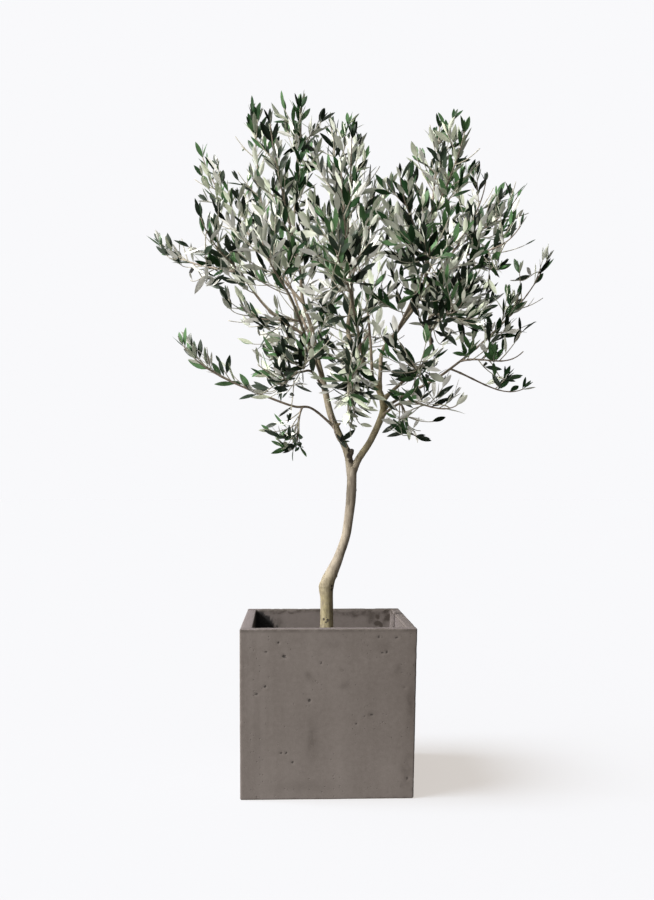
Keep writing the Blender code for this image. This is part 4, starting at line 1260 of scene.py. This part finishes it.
def shoot_path(stem, place, spread, chance):
    """The path of the shoot at one of a stem's places, which turn round the stem as they climb it."""
    share = SHOOT_SPAN[0] + (SHOOT_SPAN[1] - SHOOT_SPAN[0]) * place / (SHOOTS - 1)
    start, way, _ = place_on(stem, share)
    side = sideways(way, place * SHOOT_TURN + chance.uniform(-TURN_CHANCE, TURN_CHANCE))
    out = math.cos(SHOOT_OPENING) * way + math.sin(SHOOT_OPENING) * side
    length = spread * SHOOT_LENGTH * (1 - SHOOT_TAPER * share) * chance.uniform(0.85, 1.15)
    return young_path(start, out, length, SHOOT_RADIUS)


def side_shoot_path(shoot, share, chance):
    """A short shoot on a shoot, to a seeded side of it."""
    start, way, _ = place_on(shoot, share)
    out = unit(way + sideways(way, chance.uniform(0, 2 * math.pi)) * SIDE_SHOOT_SLANT)
    length = lengths_along(shoot)[-1] * SIDE_SHOOT_LENGTH * chance.uniform(0.8, 1.2)
    return young_path(start, out, length, SIDE_SHOOT_RADIUS, SIDE_SHOOT_TO_LIGHT)


def wood_shoot_path(wood, share, place, chance):
    """The path of a young shoot that breaks from a bough or a limb."""
    start, way, _ = place_on(wood, share)
    side = sideways(way, place * SHOOT_TURN + chance.uniform(-TURN_CHANCE, TURN_CHANCE))
    out = unit(way * 0.5 + side)
    return young_path(start, out, WOOD_SHOOT_REACH * chance.uniform(0.75, 1.15), SHOOT_RADIUS)


def tip_spray_path(stem, tip):
    """The path to a set tip from the stem's place that is nearest to TIP_SHOOT away from it."""
    gap = np.linalg.norm(stem[:-1, :3] - tip, axis=1)
    root = abs(gap - TIP_SHOOT).argmin()
    way = unit(stem[root + 1, :3] - stem[root, :3])
    return path_to_tip(stem[root, :3], way, tip, 0, SHOOT_RADIUS)


def wood_clearance(points, rows):
    """How far each point is from the surface of the nearest wood."""
    return np.min(np.linalg.norm(points[:, None] - rows[None, :, :3], axis=2) - rows[:, 3], axis=1)


# %% [markdown]
# Two tables fit the crown to the photograph. Sky shows through it at certain places, and there nothing
# grows: a twig is left out if half of it or more is seen inside one of these round windows, and so is a
# leaf if its middle or its tip is. And the outline has sprays that the rule misses, so a shoot is grown
# from a stem to each of their tips.

# %% Sprays and windows
OPEN_SPRAYS = {  # masses that are single sprays in the photograph, which keep only every third shoot
    "low_left", "hanging", "left_reach", "right_droop", "inner_hang", "low_right_curve", "low_right_hang",
}
THIN_MASSES = {"under_left", "under_mid", "under_right", "left_droop"}
OPEN_EVERY = 3
SIDE_SHOOT_AT = 0.42  # as a share of its shoot's length
SIDE_SHOOT_CHANCE = 0.60
TWIG_CLEARANCE = 0.0010
SKY_WINDOWS = (  # x and z where the sight line meets y = 0, and radius, in millimetres
    (202, 1037, 30), (358, 931, 33), (-96, 1139, 21), (-249, 1032, 38), (-185, 1044, 20),
    (-211, 1450, 26), (-230, 1533, 33), (-167, 1386, 10), (150, 1481, 33), (245, 1462, 13),
    (214, 1349, 11), (415, 1450, 33), (373, 1368, 14), (449, 1247, 22), (498, 1297, 24), (446, 1191, 14),
    (-325, 1285, 30), (-344, 1146, 33), (-141, 905, 14), (-46, 886, 18), (87, 799, 17), (240, 863, 20),
    (-8, 790, 36), (23, 1044, 12), (18, 846, 16), (30, 812, 16),
    (-150, 1125, 25), (-93, 1090, 18), (-202, 978, 26), (-136, 865, 18), (445, 990, 28),
    (500, 995, 34), (490, 1150, 26), (385, 1380, 20), (272, 813, 26), (-6, 832, 14), (384, 1495, 26),
    (219, 979, 15), (-65, 865, 11), (-95, 879, 12), (-177, 987, 14), (439, 1241, 16), (500, 1335, 24),
    (-292, 1262, 22), (527, 1137, 30), (456, 1417, 22), (227, 818, 14), (-233, 1070, 24),
    (134, 1429, 16), (253, 851, 18), (-167, 969, 15), (-115, 1578, 12), (-328, 1410, 22), (-243, 1464, 16),
    (-105, 867, 12), (-51, 834, 16), (238, 1559, 18), (288, 1573, 17), (-224, 1408, 12), (343, 1490, 15),
    (471, 1290, 15), (428, 886, 18), (87, 837, 10), (-217, 1500, 14), (276, 969, 12), (478, 1089, 15),
    (475, 1351, 14), (198, 865, 10), (-191, 1410, 10), (409, 1408, 13),
    (-191, 1486, 9),
)
TIPS = {  # x, y, z in millimetres; each spray grows from the stem of the mass it is under
    "under_mid": (
        (50, -120, 870), (90, -120, 890), (20, -140, 900), (60, -110, 840), (100, -160, 870),
        (80, -100, 860), (50, -140, 930), (120, -120, 890), (43, -110, 821), (54, -110, 786),
        (23, -110, 866), (68, -110, 855), (48, -130, 812), (60, -90, 800), (36, -100, 850),
        (76, -120, 870), (-12, -130, 964), (88, -110, 810), (41, -100, 801), (40, -120, 870),
        (95, -110, 800), (108, -110, 841), (10, -150, 862), (54, -150, 1107), (62, -200, 1053),
        (51, -240, 995), (82, -240, 986),
    ),
    "under_left": ((-28, -220, 1010), (-12, -150, 974), (19, -240, 1028), (8, -150, 1089)),
    "front_high": ((41, -100, 1163), (-63, -150, 1115)),
    "low_right_curve": (
        (140, -90, 900), (130, -100, 870), (190, -100, 900), (128, -110, 845),
        (277, -100, 899),
    ),
    "right_reach": (
        (460, 50, 1157), (445, 50, 1201), (488, 100, 1186), (479, 50, 1177),
    ),
    "left_droop": ((-233, -200, 1086), (-149, -200, 1082), (-233, -200, 1110), (-150, -180, 1095)),
    "mid_right": ((386, -100, 1143),),
    "saddle": ((126, 50, 1189),),
    "front_mid": ((-15, -250, 1094), (-51, -240, 1060), (-63, -220, 1100)),
    "under_right": (
        (256, -130, 970), (270, -100, 951), (160, -160, 930), (200, -180, 940), (140, -140, 880),
        (240, -140, 930), (253, -150, 987), (129, -150, 913), (135, -200, 1041), (160, -150, 986),
        (150, -180, 1020),
    ),
    "front_right_low": ((280, -150, 991),),
    "top_left_inner": ((-93, -200, 1385), (-72, -100, 1166)),
    "low_right_hang": (
        (130, -50, 810), (240, -50, 800), (150, -30, 840), (153, -90, 824), (171, -90, 837),
        (214, -80, 795),
    ),
    "hanging": (
        (-134, -80, 800), (-128, -70, 770), (-60, -80, 755), (-115, -80, 762),
        (-79, -80, 757),
    ),
    "front_right": ((150, -250, 1075),),
    "left_inner": (
        (-50, -100, 930), (-150, -130, 910), (-168, -110, 903), (-168, -100, 898), (-188, -150, 899),
    ),
    "left_reach": (
        (-390, 80, 1300), (-350, 60, 1190), (-370, 70, 1240), (-415, 80, 1295), (-404, 80, 1269),
        (-236, 30, 1162),
    ),
    "left_shoulder": ((-270, -120, 1160), (-247, -200, 1263)),
    "left_crest": ((-310, 80, 1470), (-240, 100, 1440)),
    "low_left": ((-320, -80, 1030), (-280, -100, 980), (-310, -100, 1003)),
    "summit": (
        (-60, -50, 1590), (-100, 30, 1560), (-65, -20, 1582), (-74, -30, 1536), (-65, -50, 1466),
        (-60, -60, 1410), (-69, -70, 1351), (-60, -70, 1301), (-33, -50, 1349), (-25, 0, 1417),
        (-27, 0, 1541),
    ),
    "top_left": ((-160, 50, 1600), (-120, 100, 1570), (-172, 100, 1613), (-172, 50, 1605)),
    "top_mid": ((60, 120, 1560),),
    "right_peak": ((350, 50, 1480), (330, 80, 1560), (240, 100, 1515), (233, 50, 1497)),
    "right_shoulder": ((470, 30, 1370),),
    "right_mid": (
        (400, -150, 1170), (366, -120, 1143), (357, -120, 1106), (352, -100, 1174), (385, -200, 1159),
        (409, -150, 1174),
    ),
    "right_low": ((432, -100, 932),),
}
TIP_SHOOT = 0.10  # how far from its tip such a spray leaves its stem
LEAFY_WOOD = {  # boughs and limbs that young shoots break from, and the share of their length where it starts
    "bough_left": 0.50, "bough_right": 0.50, "limb_left_arm": 0.20, "limb_left_rise": 0.10,
    "limb_front_left": 0.35, "limb_back_left": 0.25, "limb_right_mid": 0.45, "limb_right_rise": 0.14,
    "limb_back_mid": 0.30, "limb_front_mid": 0.35, "limb_front_right": 0.25, "limb_back_right": 0.25,
    "limb_right_far": 0.15,
}
WOOD_SHOOT_STEP = 0.036
WOOD_SHOOT_REACH = 0.115
WINDOW_SHARE = 0.5  # a twig with more of it than this in a window is left out

# %% [markdown]
# Now the rule is applied. Each mass grows its stem and shoots, and a shoot that would touch the older
# wood is left out. Young shoots also break from the older wood, and last come the sprays to set tips.

# %% Grow stems and shoots
def in_window(points):
    """Whether each point is seen from the camera's place inside one of the sky windows."""
    eye = np.array(CAMERA_PLACE)
    seen = eye + (points - eye) * (-eye[1] / (points[:, 1] - eye[1]))[:, None]
    windows = metres(SKY_WINDOWS)
    away = np.hypot(seen[:, None, 0] - windows[:, 0], seen[:, None, 2] - windows[:, 1])
    return (away < windows[:, 2]).any(axis=1)


all_wood = np.vstack([wood_rows, *limb_paths])
mass_names = [row[0] for row in FOLIAGE]
mass_nodes = [f"foliage_{name}" for name in mass_names]
spreads = metres([row[4] for row in FOLIAGE])
sprays = []  # each twig with leaves: its mass or -1, its order (0 stem, 1 shoot, 2 side shoot), its path
stem_of = {}
for mass, (name, limb, share, tip, _, dip) in enumerate(FOLIAGE):
    start, way, _ = place_on(paths[limb], share)
    stem = stem_of[name] = path_to_tip(start, way, metres(tip), dip, STEM_RADIUS)
    sprays.append((mass, 0, stem))
    for place in range(0, SHOOTS, OPEN_EVERY if name in OPEN_SPRAYS else 1):
        chance = random.Random(f"foliage_{name} shoot {place}")
        shoot = shoot_path(stem, place, spreads[mass], chance)
        thinned = name in THIN_MASSES and place % OPEN_EVERY == 1
        if thinned or wood_clearance(shoot[:, :3], all_wood).min() < TWIG_CLEARANCE:
            continue
        sprays.append((mass, 1, shoot))
        twig = side_shoot_path(shoot, SIDE_SHOOT_AT, chance)
        lone = name in OPEN_SPRAYS or name in THIN_MASSES or chance.random() > SIDE_SHOOT_CHANCE
        if not lone and wood_clearance(twig[:, :3], all_wood).min() > TWIG_CLEARANCE:
            sprays.append((mass, 2, twig))
for name, bare in LEAFY_WOOD.items():
    length = lengths_along(paths[name])[-1]
    chance = random.Random(f"{name} wood shoots")
    for place in range(int((1 - bare) * length / WOOD_SHOOT_STEP)):
        share = bare + (place + 0.5) * WOOD_SHOOT_STEP / length
        sprays.append((-1, 1, wood_shoot_path(paths[name], share, place, chance)))
for name, tips in TIPS.items():
    sprays += [(-1, 1, tip_spray_path(stem_of[name], tip)) for tip in metres(tips)]
sprays = [spray for spray in sprays if spray[1] == 0 or in_window(spray[2][:, :3]).mean() < WINDOW_SHARE]
print("twigs", len(sprays))

# %% [markdown]
# Leaves stand in opposite pairs, each pair a quarter turn from the last, opening wide at a twig's foot
# and closing towards its tip, with the upper side to the tip and the light. They get smaller towards
# the tip, which ends in a last small pair. Each is turned about its midrib by a seeded angle, and at the
# crown's edge the upper sides also turn to the window.

# %% Leaf places
LEAF_LENGTH = 0.0545
LEAF_WIDTH = 0.0150
LEAF_SPACING = 0.0330
LEAF_OPENING = (math.radians(50), math.radians(28))
LEAF_TO_LIGHT = 0.42
LEAF_TIP_SIZE = 0.80
LEAF_TO_WINDOW = 0.58  # how strongly upper sides turn to the window at the crown's edge
WINDOW_SIDE = np.array([-0.45, -0.85, 0.25])
LEAF_ROLL = 0.80  # the spread, in radians, of how far leaves turn about their midribs
FIRST_PAIR = 0.85  # where the first pair sits, in spacings
OPENING_DRIFT, PAIR_DRIFT = 0.14, 0.28  # how far leaves are off the rule, in radians
LAST_OPENING, LAST_SIZE = 0.28, 0.72  # of the last pair
LEAF_LOST = 0.06  # the share of leaves that have fallen
STEM_LEAVES = (0.25, 0.60)  # the share of leaves at a stem's foot, in a full mass and in an open spray
STEM_LEAVES_MORE = 1.6  # how much more of them there are at its tip
LEAF_SIZES = (1.0, 0.94, 0.86)  # on a stem, a shoot and a side shoot
LEAF_CLEARANCE = 0.0025
BOX_ROOM = 0.024  # how far leaf tips may pass the solid model's box
FRINGE = (0.66, 0.50)  # where leaves get fewer, as a share of the mass's reach, and how many go at its edge


def leaf_places(path, order, pull, dice):
    """Root, direction, upper side and size of each leaf on a twig, as arrays."""
    length = lengths_along(path)[-1]
    pairs = max(2, round(length / LEAF_SPACING))
    pair, side = np.divmod(np.arange(2 * pairs + 2), 2)
    share = np.minimum((pair + FIRST_PAIR) / pairs, 1.0)
    last = pair == pairs
    opening = LEAF_OPENING[0] + (LEAF_OPENING[1] - LEAF_OPENING[0]) * share
    opening = np.where(last, LAST_OPENING, opening + dice.uniform(-OPENING_DRIFT, OPENING_DRIFT, len(pair)))
    root, way, _ = place_on(path, share - dice.uniform(0, 0.002, len(pair)) / length)
    turn = dice.uniform(0, math.pi) + (pair / 2 + side) * math.pi
    turn = turn + dice.uniform(-PAIR_DRIFT, PAIR_DRIFT, len(pair))
    out = sideways(way, turn)
    leaf_way = unit(np.cos(opening)[:, None] * way + np.sin(opening)[:, None] * out + UP * LEAF_TO_LIGHT)
    facing = way + UP * 0.3 + WINDOW_SIDE * pull
    upper_side = unit(facing - leaf_way * np.sum(facing * leaf_way, axis=1, keepdims=True))
    size = LEAF_SIZES[order] * (1 + (LEAF_TIP_SIZE - 1) * share**2) * dice.uniform(0.82, 1.12, len(pair))
    size = np.where(last, size * LAST_SIZE, size)
    roll = dice.normal(0, LEAF_ROLL, len(pair))[:, None]
    upper_side = upper_side * np.cos(roll) + np.cross(leaf_way, upper_side) * np.sin(roll)
    return root, leaf_way, upper_side, size


# %% [markdown]
# Not every place on a twig has its leaf. Some leaves have fallen, stems are barer at their foot, and
# leaves get fewer at a mass's edge. None may touch the wood, or pass far out of the solid model's box.

# %% Deal out leaves
CROWN_MIDDLE = np.array([0.07, 0.0, 1.16])
CROWN_HALF = (0.45, 0.40, 0.45)  # half its width, depth and height

box_low, box_high = np.array(cad_box[0]) - BOX_ROOM, np.array(cad_box[1]) + BOX_ROOM
twig_ends = np.array([path[-1, :3] for _, _, path in sprays])
from_middle = (twig_ends - CROWN_MIDDLE) / CROWN_HALF
pulls = LEAF_TO_WINDOW * np.clip(np.hypot(from_middle[:, 0], from_middle[:, 2]), 0, 1) ** 3
leaf_rows = []
for number, (mass, order, path) in enumerate(sprays):
    dice = np.random.default_rng([mass + 1, order, number])
    root, way, upper_side, size = leaf_places(path, order, pulls[number], dice)
    kept = dice.random(len(size)) > LEAF_LOST
    if order == 0:
        along = np.arange(len(size)) / len(size)
        at_foot = STEM_LEAVES[mass_names[mass] in OPEN_SPRAYS]
        kept &= dice.random(len(size)) < at_foot + STEM_LEAVES_MORE * along
    tip = root + way * (LEAF_LENGTH * size)[:, None]
    if mass >= 0:
        reach = np.linalg.norm(tip[:, None] - stem_of[mass_names[mass]][None, :, :3], axis=2).min(axis=1)
        room = spreads[mass] + LEAF_ROOM
        fringe = smooth_step((reach / room - FRINGE[0]) / (1 - FRINGE[0]))
        kept &= dice.random(len(size)) > fringe * FRINGE[1]
        kept &= reach < room
    middle = root + way * (LEAF_LENGTH * size * 0.5)[:, None]
    kept &= ~in_window(middle) & ~in_window(tip)
    kept &= ((tip > box_low) & (tip < box_high)).all(axis=1)
    kept &= wood_clearance(np.vstack([tip, middle]), all_wood).reshape(2, -1).min(axis=0) > LEAF_CLEARANCE
    rows = np.column_stack([root, way, upper_side, size, np.full(len(size), number)])
    leaf_rows.append(rows[kept])
leaf_rows = np.vstack(leaf_rows)
print("leaves", len(leaf_rows))

# %% [markdown]
# An olive leaf is a narrow blade on a short stalk, dark and glossy above, felted and silvery below. Its
# halves rise a little from the midrib and its edges roll back under. Here one leaf is a flat closed tube:
# a ring of eight points, four strips above and four below, carried along the midrib, with a width that
# goes as a sine from the stalk to the pointed tip. The midrib bends down by droop * length * u^2 and the
# blade turns about it by twist * u. All leaves of a piece are worked out at once.

# %% Leaf shape
LEAF_ROWS = np.array([0.05, 0.13, 0.30, 0.50, 0.70, 0.87])
RING_ACROSS = np.array([1, 0.5, 0, -0.5, -1, -0.5, 0, 0.5])
RING_BELOW = np.array([0, 0, 0, 0, 0, 1, 1.7, 1])
STALK = 0.08
BLADE_THICK = 0.00038
VARIETY = (  # from the least to the most of each leaf's droop, sway, twist, fold and slimness
    (-0.02, 0.16), (-0.07, 0.07), (-0.5, 0.5), (0.10, 0.42), (0.86, 1.14),
)


def leaf_points(rows, dice):
    """Points of many leaves, (leaves, 2 + rows * 8, 3)."""
    count = len(rows)
    root, way, upper = rows[:, None, 0:3], rows[:, None, 3:6], rows[:, None, 6:9]
    size = rows[:, 9][:, None, None]
    across = np.cross(upper, way)
    droop, sway, twist, fold, slim = (dice.uniform(*reach, count)[:, None, None] for reach in VARIETY)
    length = LEAF_LENGTH * size
    u = np.concatenate([[0.0], LEAF_ROWS, [1.0]])[None, :, None]
    middle = root + way * length * u - upper * length * droop * u**2 + across * length * sway * u**2
    along = unit(way - upper * 2 * droop * u + across * 2 * sway * u)
    over = unit(upper + way * 2 * droop * u)
    over = unit(over - along * np.sum(over * along, axis=-1, keepdims=True))
    aside = np.cross(over, along)
    aside, over = (aside * np.cos(twist * u) + over * np.sin(twist * u),
                   over * np.cos(twist * u) - aside * np.sin(twist * u))
    blade = np.clip((u - STALK) / (1 - STALK), 0, 1)
    width = LEAF_WIDTH / 2 * size * slim * (np.sin(math.pi * blade**0.92) ** 0.86 * 0.95 + 0.05)
    width, aside, over, inner = (part[:, 1:-1, None] for part in (width, aside, over, middle))
    v = RING_ACROSS[None, None, :, None]
    lift = width * (fold[..., None] * np.abs(v) - 0.20 * v**4) - RING_BELOW[None, None, :, None] * BLADE_THICK
    rings = inner + aside * width * v + over * lift
    return np.concatenate([middle[:, :1], rings.reshape(count, -1, 3), middle[:, -1:]], axis=1)


def leaves_mesh(name, rows, finishes, dice):
    """One object of many leaves, with the first finish above and the second below."""
    points = leaf_points(rows, dice)
    quads, ends = ring_faces(len(LEAF_ROWS), 8)
    offset = (np.arange(len(rows)) * points.shape[1])[:, None, None]
    below_quad = (np.arange(len(quads)) % 8) > 3
    below_end = (np.arange(len(ends)) % 8) > 3
    below = np.concatenate([np.tile(below_quad, len(rows)), np.tile(below_end, len(rows))])
    quads, ends = (quads + offset).reshape(-1, 4), (ends + offset).reshape(-1, 3)
    piece = mesh_object(name, points.reshape(-1, 3), quads, ends, finishes, below)
    piece.data.set_sharp_from_angle(angle=math.radians(62))
    return piece


# %% [markdown]
# Leaves differ from spray to spray: old ones deep green, last year's greyer, new ones fresh. A spray
# takes one tone, drawn with a seeded chance that favours paler tones at the crown's edge. It favours them
# too where the crown is lit, on its left side and low in it, which is painted light. Each tone is one piece
# with two finishes, as a leaf is paler below. Colours within a tone only drift a little with the place.

# %% Leaf finishes
TONES = {  # upper side, under side, gloss above; the tones go from the darkest to the palest
    "deep": ((0.004, 0.009, 0.004), (0.570, 0.600, 0.520), 0.12),
    "grey_green": ((0.014, 0.028, 0.015), (0.860, 0.870, 0.830), 0.38),
    "green": ((0.012, 0.038, 0.012), (0.640, 0.680, 0.580), 0.16),
    "fresh": ((0.050, 0.116, 0.042), (0.660, 0.720, 0.570), 0.30),
}
TONE_LIMITS = np.array([0.38, 0.73, 0.94])  # a draw below the first gives the first tone, and so on
TONE_OUTER = np.array([0.12, 0.25, 0.14])  # how much lower the limits are at the crown's edge
TONE_PAINTED_LIGHT = np.array([0.20, 0, 0.12])  # and where the crown is lit, as painted light
LIT_SIDE = (-0.02, 0.25)  # x where that starts on the left, and how far on it is complete
LIT_LOW = (1.09, 0.13)  # height where it starts low in the crown, and how far down it is complete


def leaf_finish(name, colour, roughness, gloss, drift):
    finish = Finish(name, Roughness=roughness, Specular_IOR_Level=gloss)
    place = finish.cloud(28, 2, 0.5)
    low = tuple(c * (1 - drift) for c in colour)
    high = tuple(c * (1 + drift) for c in colour)
    return finish.wear(colour=finish.mix(place.from_to(0.30, 0.70), low, high),
                       roughness=roughness - 0.05 + place * 0.10)


draw = np.random.default_rng(77).random(len(sprays))
outer = np.clip(np.linalg.norm(from_middle, axis=1), 0, 1)
# painted light: paler tones where the crown is lit, on its left side and low in it
leftward = (LIT_SIDE[0] - twig_ends[:, 0]) / LIT_SIDE[1]
lowness = (LIT_LOW[0] - twig_ends[:, 2]) / LIT_LOW[1]
painted_light_share = np.maximum(leftward, lowness).clip(0, 1)
limits = TONE_LIMITS - TONE_OUTER * outer[:, None] - TONE_PAINTED_LIGHT * painted_light_share[:, None]
spray_tone = (draw[:, None] > limits).sum(axis=1)
leaf_tone = spray_tone[leaf_rows[:, 10].astype(int)]
for index, (tone_name, (above, below, gloss)) in enumerate(TONES.items()):
    finishes = (leaf_finish(f"leaf_above_{tone_name}", above, 0.36, gloss, 0.22),
                leaf_finish(f"leaf_below_{tone_name}", below, 0.80, 0.15, 0.10))
    own = leaf_rows[leaf_tone == index]
    piece = leaves_mesh(f"leaves_{tone_name}", own, finishes, np.random.default_rng([9, index]))
    finished(piece, "olive_leaf", *mass_nodes)
    print(tone_name, len(own), "leaves")

# %% [markdown]
# Twigs are thin tubes, pale and a little swollen where each pair of leaves sits. Stems are browner, as
# they are a year or two older than the shoots on them.

# %% Twigs
NODE_SWELL, NODE_SPREAD = 0.28, 0.01


def node_swell(path, turn):
    """1, and up to 1 + NODE_SWELL at each pair of leaves."""
    along = lengths_along(path)
    pairs = max(2, round(along[-1] / LEAF_SPACING))
    phase = along / along[-1] * pairs + 0.15
    bump = 1 + NODE_SWELL * np.exp(-((np.abs(phase % 1 - 0.5) - 0.5) ** 2) / NODE_SPREAD)
    return np.repeat(bump[:, None], len(turn), axis=1)


def twig_finish(name, dark, pale):
    finish = Finish(name, Roughness=0.72)
    rings = finish.cloud(160, 3, 0.6)
    return finish.wear(finish.mix(rings.from_to(0.30, 0.70), dark, pale), roughness=0.64 + rings * 0.16)


for name, orders, around, finish in (
    ("stems", (0,), 7, twig_finish("stem_bark", (0.135, 0.105, 0.080), (0.300, 0.255, 0.205))),
    ("shoots", (1, 2), 5, twig_finish("shoot_bark", (0.230, 0.215, 0.160), (0.440, 0.420, 0.340))),
):
    own = [path for _, order, path in sprays if order in orders]
    finished(mesh_object(name, *joined_tubes(own, around, node_swell), [finish]), "olive_bark")

# %% [markdown]
# Each lamp is told what it lights and what may block it: the plant's lamp lights the plant, and the floor's
# lamp lights the floor, where only the planter, the trunk and the boughs throw a shadow.

# %% Share out the lamps
def named_set(name, pieces):
    """A collection that only names pieces, for a lamp to light or to be blocked by."""
    chosen = bpy.data.collections.new(name)
    for piece in pieces:
        chosen.objects.link(piece)
    return chosen


plant_pieces = [o for o in bpy.context.scene.objects if o.type == "MESH" and o is not floor]
on_plant, on_floor = (lamps[name].light_linking for name in LAMPS)
on_plant.receiver_collection = named_set("plant", plant_pieces)
on_floor.receiver_collection = named_set("floor_only", [floor])
on_floor.blocker_collection = named_set("solid_things", [planter_piece, rough_wood])
